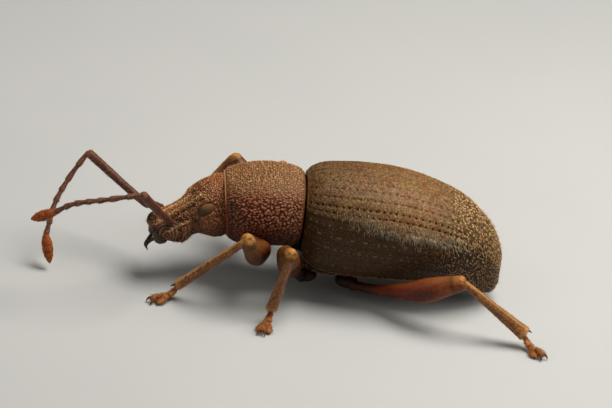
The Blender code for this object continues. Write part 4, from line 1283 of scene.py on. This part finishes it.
def head():
    """The head and rostrum as one skin, with keels, antennal grooves and eye rims."""
    local, turn = head_grid()
    mirrored = np.stack((local[..., 0], np.abs(local[..., 1]), local[..., 2]), axis=-1)
    height, values, hairy = head_values(local, mirrored, turn)
    grid = close_mouth(raised(head_place(local), height))
    flat = np.zeros((len(MOUTH_RIM), HEAD_AROUND))
    solid = Solid()
    solid.add(grid, *(np.concatenate((value, flat + fill)) for fill, value in zip(MOUTH_VALUES, values)))
    solid.show("head_skin", "head", ["head", "rostrum"])
    masks = {"head": hairy, "chin": bell(lengths(mirrored - CHIN_PLACE), CHIN_REACH)}
    coats = [Coat(kind, grid, np.concatenate((mask, flat))) for kind, mask in masks.items()]
    bristles("head_bristles", coats, "pale", seed=55)


def close_mouth(grid):
    """The head's grid with more rings across the face of the mouth."""
    last, centre = grid[-1], grid[-1].mean(axis=0)
    face = np.array([last * (1 - k) + centre * k + MOUTH_NORMAL * push for k, push in MOUTH_RIM])
    return np.concatenate((grid, face))


def hexagons(a, b):
    """Distance to the nearest centre of a honeycomb of unit pitch."""
    tall = math.sqrt(3)
    first = np.hypot(a - np.round(a), b - np.round(b / tall) * tall)
    second = np.hypot(a - np.floor(a) - 0.5, b - (np.floor(b / tall) + 0.5) * tall)
    return np.minimum(first, second)


def eyes():
    for side, sign in SIDES.items():
        grid, local = ball(head_place(EYE_PLACE * (1, sign, 1)), EYE_RADII, HEAD_AXES, rings=110, sides=170)
        facets = hexagons(local[..., 0] * EYE_RADII[0] / EYE_FACET, local[..., 2] * EYE_RADII[2] / EYE_FACET)
        outer = smooth(0.15, 0.4, np.abs(local[..., 1]))
        lens = dome(facets, 0.62) * outer
        behind = smooth(0.45, -0.45, local[..., 0] - 0.6 * local[..., 2])
        solid = Solid()
        # Painted highlights on the facet lenses and painted shade between them.
        solid.add(raised(grid, lens * LENS_RISE), (1 - lens) * 0.4 * outer, behind * 0.9, lens * 0.2)
        solid.show("eye_facets_" + side, "eye", ["eye_" + side])


def jaws():
    """Each jaw is a rounded block with curved lines, and carries a hook."""
    for side, sign in SIDES.items():
        mirror = np.array((1, sign, 1))
        place = head_place(MANDIBLE_PLACE * mirror)
        grid, local = ball(place, MANDIBLE_RADII, HEAD_AXES, rings=70, sides=110)
        arcs = lengths(local - JAW_HINGE * mirror)
        lines = 0.5 + 0.5 * np.cos(arcs * 22)
        solid = Solid()
        grid = raised(grid, lines**2 * JAW_LINE_RISE)
        # Painted highlights on the raised curved lines and painted shade between them.
        solid.add(grid, (1 - lines) * 0.5, smooth(1.3, 0.7, arcs) * 0.4, lines**3 * 0.45)
        route = [head_place((MANDIBLE_PLACE + step) * mirror) for step in np.array(FANG_ROUTE)]
        fang = Limb(route, FANG_RADII, rings=40, sides=24)
        solid.add(fang.grid, 0.2, smooth(0.2, 0.6, fang.share) * 0.8)
        solid.show("jaw_" + side, "mandible", ["mandible_" + side])


# Antennae

def scape(side, sign, shoulder, elbow):
    """The long first joint, from its groove on the rostrum to the elbow."""
    root = head_place(SCAPE_ROOT * (1, sign, 1))
    knots = [root, root + (shoulder - root) * 0.55, shoulder, elbow + unit(elbow - shoulder) * ELBOW_OVERLAP]
    limb = Limb(knots, SCAPE_RADII, rings=120, sides=50, caps=(0.05, 0.14))
    distance, mark = limb.lattice(SCAPE_CELLS, 61)
    grains = dome(distance, 0.5)
    limb.raise_by(0.008 * grains * mark + 0.006 * limb.ripple(62))
    solid = Solid()
    # Painted highlights on the granules and painted shade between them.
    solid.add(limb.grid, (1 - grains) * 0.3, smooth(0.92, 1.0, limb.share) * 0.6, grains * mark * 0.35)
    knob, _ = ball(root, SCAPE_KNOB, HEAD_AXES, rings=24, sides=32)
    solid.add(knob, 0.3, 0.4)
    solid.show("scape_skin_" + side, "antenna", ["scape_" + side])
    return limb


def funicle(side, knots):
    """The seven short joints between the elbow and the club."""
    line, walk = smooth_route(knots, FUNICLE_STEPS, ends=0.0)
    bounds = np.concatenate(([0.0], np.cumsum(FUNICLE_LENGTHS))) / sum(FUNICLE_LENGTHS) * walk[-1]
    solid = Solid()
    joints = []
    for start, end in zip(bounds, bounds[1:]):
        places = np.linspace(start - 0.02, end + 0.015, len(FUNICLE_RADII))
        knots = np.stack([np.interp(places, walk, column) for column in line.T], axis=1)
        joint = Limb(knots, FUNICLE_RADII, rings=36, sides=34, caps=(0.02, 0.06))
        distance, mark = joint.lattice(JOINT_CELLS, 63)
        grains = dome(distance, 0.5) * mark
        joint.raise_by(0.006 * grains)
        pit, zone = smooth(0.20, 0.0, joint.share) * 0.6, smooth(0.75, 1.0, joint.share) * 0.35
        # Painted highlights on the granules.
        solid.add(joint.grid, pit, zone, grains * 0.4)
        joints.append(joint)
    solid.show("funicle_joints_" + side, "antenna", ["funicle_" + side])
    return joints


def club(side, wrist, tip):
    """The spindle at the end, with its rings."""
    knots = [wrist + (tip - wrist) * share for share in CLUB_SHARES]
    limb = Limb(knots, CLUB_RADII, rings=80, sides=44, caps=(0.04, 0.03))
    rings = sum(bell(limb.share - place, 0.022) for place in CLUB_RINGS)
    limb.raise_by(-CLUB_RING_DEPTH * rings * np.ones_like(limb.turn))
    solid = Solid()
    solid.add(limb.grid, rings * 0.5, smooth(0.6, 1.0, limb.share) * 0.6)
    solid.show("club_skin_" + side, "club", ["club_" + side])
    return limb


def antenna(side):
    shoulder, elbow, *bends, wrist, tip = (np.array(place) for place in ANTENNA_KNOTS[side])
    coats = [Coat("scape", scape(side, SIDES[side], shoulder, elbow).grid)]
    start = elbow - unit(bends[0] - elbow) * 0.02
    coats += [Coat("funicle", joint.grid) for joint in funicle(side, [start, *bends, wrist])]
    coats.append(Coat("club", club(side, wrist, tip).grid))
    bristles("antenna_bristles_" + side, coats, "pale", seed=64)


# Legs

def belly_level(x, y):
    """Height of the underside at a place seen from below."""
    row = sample(PRONOTUM_STATIONS if x < 0 else HIND_STATIONS, np.array([x]))[0]
    centre, half_height = centre_and_half(row)
    return centre - half_height * math.sqrt(1 - (y / row[1]) ** 2)


def trunk_contact(hip):
    """The underside's point straight above or below a hip, with the surface normal there."""
    x, y = hip[:2]
    step = GAP / 2
    slope_x = (belly_level(x + step, y) - belly_level(x - step, y)) / (2 * step)
    slope_y = (belly_level(x, y + step) - belly_level(x, y - step)) / (2 * step)
    return np.array((x, y, belly_level(x, y))), unit(np.array((slope_x, slope_y, -1.0)))


def foot(place, ankle, heading, shin):
    """Tarsal joints with a two-lobed third, hairy pads, and a claw joint with two claws."""
    along = unit(heading)
    across = np.cross((0, 0, 1), along)

    def at(share, height, side=0.0):
        return np.array((ankle[0], ankle[1], height)) + along * (share * FOOT_LENGTH) + across * side

    first, *others = FOOT_JOINTS
    limbs = [Limb([ankle - shin * 0.12, *(at(*knot) for knot in first[0])], *first[1:], (0, 0, 1))]
    limbs += [Limb([at(*knot) for knot in joint[0]], *joint[1:], (0, 0, 1)) for joint in others]
    for sign in (1, -1):
        lobe = [at(share, height, side * sign) for share, height, side in LOBE_KNOTS]
        limbs.append(Limb(lobe, LOBE_RADII, 32, 32, (0.04, 0.08), 0.55, (0, 0, 1)))
    solid = Solid()
    for number, limb in enumerate(limbs):
        limb.raise_by(0.006 * limb.ripple(71 + number))
        solid.add(limb.grid, smooth(0.15, 0.0, limb.share) * 0.5, smooth(0.6, 1.0, limb.share) * 0.6)
    for sign in (1, -1):
        claw = [at(share, height, side * sign) for share, height, side in CLAW_KNOTS]
        solid.add(Limb(claw, CLAW_RADII, rings=24, sides=18).grid, 0.55)
    solid.show(f"tarsus_{place}_skin", "tarsus", ["tarsus_" + place])
    soles = [(limb.grid, grid_normals(limb.grid)[..., 2] < SOLE_NORMAL) for limb in (limbs[1], *limbs[3:])]
    coats = [Coat("pad", grid, np.where(sole, 1.0, 0.0), floor=FLOOR_GAP) for grid, sole in soles]
    return coats + [Coat("toe", limb.grid, floor=FLOOR_GAP) for limb in limbs]


def coxa(place, centre, normal, radius):
    """The ball that carries the leg, sunk in the body's underside."""
    grid, local = ball(centre - normal * COXA_SINK, radius * COXA_SHAPE, np.eye(3), rings=50, sides=70)
    around = np.arctan2(local[..., 2], local[..., 0]) / (2 * math.pi) % 1.0
    distance, mark = lattice(around, (local[..., 1] + 1) / 2, COXA_CELLS, 81)
    pits = dome(distance, 0.4)
    solid = Solid()
    solid.add(raised(grid, -0.010 * pits * mark), pits * 0.5)
    solid.show(f"coxa_{place}_skin", "belly", ["coxa_" + place])


def femur(place, kind, centre, normal, hip, thick, knee):
    """The thigh with its club-shaped, uneven thick part, and the small joint at its root."""
    out, thigh = unit(thick - hip), unit(knee - thick)
    joint = centre + out * COXA_REACH
    before = joint + (thick - joint) * 0.45 + normal * FEMUR_BOW[kind] * 0.6
    after = thick + (knee - thick) * 0.62
    knots = [joint - out * 0.10, before, thick, after, knee + thigh * 0.10]
    limb = Limb(knots, FEMUR_RADII[kind], rings=130, sides=84, caps=(0.06, 0.13))
    share = limb.share
    distance, mark = limb.lattice(FEMUR_CELLS, 82)
    specks = dome(distance, 0.30) * mark
    streak, streak_mark = limb.lattice(STREAK_CELLS, 87)
    streaks = dome(streak, 0.5) * streak_mark
    waves = limb.ripple(83, waves=5, reach=3) * smooth(0.15, 0.40, share)
    lobes = np.cos(2 * math.pi * (3 * limb.turn + 0.4 * share)) * bell(share - 0.55, 0.22)
    limb.raise_by(-0.010 * specks + 0.008 * streaks + THIGH_WAVES[kind] * waves + THIGH_LOBES[kind] * lobes)

    upward = up_facing(limb.grid, 0.2, 0.9)
    # Painted shade in the hollows of the thick part and at the root end; the specks, streaks and the crease at
    # the knee are the skin's own marks.
    hollows = smooth(0.1, -0.8, lobes + waves)
    pit = specks * 0.4 + 0.8 * smooth(0.45, 0.10, share) + 0.30 * streaks
    pit = pit + 0.45 * bell(share - 0.90, 0.015) + 0.45 * hollows
    # A golden colour near the knee, with a painted highlight on its upper face, and painted glints on some
    # specks.
    knee_tint_and_highlight = 0.12 * smooth(0.60, 0.85, share) + 0.70 * smooth(0.88, 0.98, share) * upward
    glints = dome(distance, 0.24) * smooth(0.86, 0.90, mark)
    solid = Solid()
    # Painted highlights on the upper faces, on the streaks there and on the glints.
    solid.add(limb.grid, pit, knee_tint_and_highlight, upward * 0.30 + 0.35 * streaks * upward + glints)
    trochanter = Limb([centre + out * COXA_REACH * 0.5, joint, joint + out * 0.22], *TROCHANTER)
    # The small root joint is near the darkest colour: painted shade under the body.
    solid.add(trochanter.grid, 0.85)
    finish = "femur" if kind == "hind" else "dark_femur"
    solid.show(f"femur_{place}_skin", finish, ["femur_" + place])
    return limb.grid


def tibia(place, kind, knee, ankle, shin, inner):
    """The shin, with a spur at its end and, on the front legs, teeth along the inner edge."""
    step = ankle - knee
    knots = [knee - shin * 0.06, knee + step * 0.3, knee + step * 0.7, ankle + shin * 0.02]
    limb = Limb(knots, TIBIA_RADII[kind], rings=130, sides=60, caps=(0.10, 0.05))
    share = limb.share
    distance, mark = limb.lattice(TIBIA_CELLS, 84)
    ridges = np.cos(limb.turn * 2 * math.pi * TIBIA_RIDGES) * smooth(0.1, 0.3, share)
    grains = dome(distance, 0.5) * mark
    limb.raise_by(0.006 * grains + 0.006 * ridges + 0.008 * limb.ripple(85, waves=5, reach=4))
    tint = np.clip(smooth(0.12, 0.0, share) + smooth(0.90, 0.98, share), 0, 1) * 0.8
    # Painted highlights on the upper edge and on the granules.
    lit = TIBIA_SHINE[kind] * up_facing(limb.grid, 0.40, 0.95) + 0.22 * grains
    solid = Solid()
    # Painted shade between the granules and at the root, where it sits in the femur.
    solid.add(limb.grid, (1 - dome(distance, 0.6)) * 0.34 + 0.55 * smooth(0.07, 0.02, share), tint, lit)
    spur = [ankle + shin * ahead + inner * aside for ahead, aside in SPUR_KNOTS]
    solid.add(Limb(spur, SPUR_RADII, rings=20, sides=16).grid, 0.6)
    for tooth_share in TOOTH_PLACES if kind == "front" else ():
        root = knee + step * tooth_share + inner * 0.13
        tooth = [root + inner * aside + shin * ahead for ahead, aside in TOOTH_KNOTS]
        solid.add(Limb(tooth, TOOTH_RADII, rings=12, sides=12).grid, 0.7)
    solid.show(f"tibia_{place}_skin", "tibia", ["tibia_" + place])
    return limb


def leg(place):
    kind = place.split("_")[0]
    hip, thick, knee, ankle, heading = (np.array(point, float) for point in LEGS[place])
    contact, normal = trunk_contact(hip)
    centre = contact + normal * (GAP + COXA_DROP[kind])
    thigh, shin = unit(knee - thick), unit(ankle - knee)
    inner = unit(np.cross(shin, np.cross(thigh, shin)))
    coxa(place, centre, normal, COXA_RADIUS[kind])
    thigh_grid = femur(place, kind, centre, normal, hip, thick, knee)
    limb = tibia(place, kind, knee, ankle, shin, inner)
    inside = smooth(0.3, 0.9, grid_normals(limb.grid) @ inner) * smooth(0.25, 0.6, limb.share)
    end = smooth(0.92, 0.98, limb.share) * np.ones_like(limb.turn)
    coats = [
        Coat("femur", thigh_grid),
        Coat("tibia", limb.grid),
        Coat("tibia_edge", limb.grid, inside),
        Coat("tibia_end", limb.grid, end),
    ]
    coats += foot(place, ankle, heading, shin)
    bristles("leg_bristles_" + place, coats, "gold", seed=86)


# Stage

def camera_axes():
    """Right, up and back of the camera, in design space."""
    e, swing, roll = CAMERA_ELEVATION, CAMERA_SWING, CAMERA_ROLL
    right = Vector((math.cos(swing), -math.sin(swing), 0))
    up = Vector((math.sin(swing) * math.sin(e), math.cos(swing) * math.sin(e), math.cos(e)))
    back = Vector((-math.sin(swing) * math.cos(e), -math.cos(swing) * math.cos(e), math.sin(e)))
    return right * math.cos(roll) + up * math.sin(roll), up * math.cos(roll) - right * math.sin(roll), back


def camera():
    right, up, back = camera_axes()
    data = bpy.data.cameras.new("camera")
    data.lens, data.sensor_width = LENS, SENSOR
    distance = FRAME_WIDTH * LENS / SENSOR
    data.clip_start, data.clip_end = (distance * share * MM for share in CLIP_SPAN)
    thing = link("camera", data)
    aim = Vector(CAMERA_AIM) + back * distance
    turned = Matrix((right, up, back)).transposed().to_4x4()
    thing.matrix_world = Matrix.Translation(aim * MM + Vector(ORIGIN)) @ turned
    bpy.context.scene.camera = thing


def area_light(name, place, size, power):
    """A round lamp that shines on the model's middle."""
    data = bpy.data.lights.new(name, "AREA")
    data.shape, data.size, data.energy, data.color = "DISK", size * MM, power, WARM
    thing = link(name, data)
    thing.location = Vector(place) * MM
    thing.rotation_mode = "QUATERNION"
    thing.rotation_quaternion = Vector(place).to_track_quat("Z", "Y")


def stage():
    """A plain floor, three lamps and a dim sky."""
    mesh = bpy.data.meshes.new("floor")
    corners = [(x * FLOOR_REACH, y * FLOOR_REACH, 0) for x, y in ((-1, -1), (1, -1), (1, 1), (-1, 1))]
    mesh.from_pydata(corners, [], [(0, 1, 2, 3)])
    floor = link("floor", mesh)
    n = Nodes("floor")
    n.set(n.shader["Base Color"], n.mix(n.noise(FLOOR_PATCH, 2.0), *FLOOR_COLOURS))
    n.set(n.shader["Roughness"], FLOOR_ROUGHNESS)
    mesh.materials.append(n.material)
    for name, settings in LIGHTS.items():
        area_light(name, *settings)
    world = bpy.data.worlds.new("studio")
    world.use_nodes = True
    sky = world.node_tree.nodes["Background"].inputs
    sky["Color"].default_value = (*WARM, 1)
    sky["Strength"].default_value = SKY_STRENGTH
    bpy.context.scene.world = world
    bpy.context.scene.view_settings.view_transform = "Standard"


elytra()
pronotum()
waist()
underside("chest_plate", *CHEST_SPAN, "metathorax", "thorax", edges=(), keel_depth=0.03, count=60)
underside("belly_plates", *BELLY_SPAN, "abdomen", "shell", edges=STERNITE_EDGES, keel_depth=0.0, count=130)
head()
eyes()
jaws()
for antenna_side in ANTENNA_KNOTS:
    antenna(antenna_side)
for leg_place in LEGS:
    leg(leg_place)
stage()
camera()
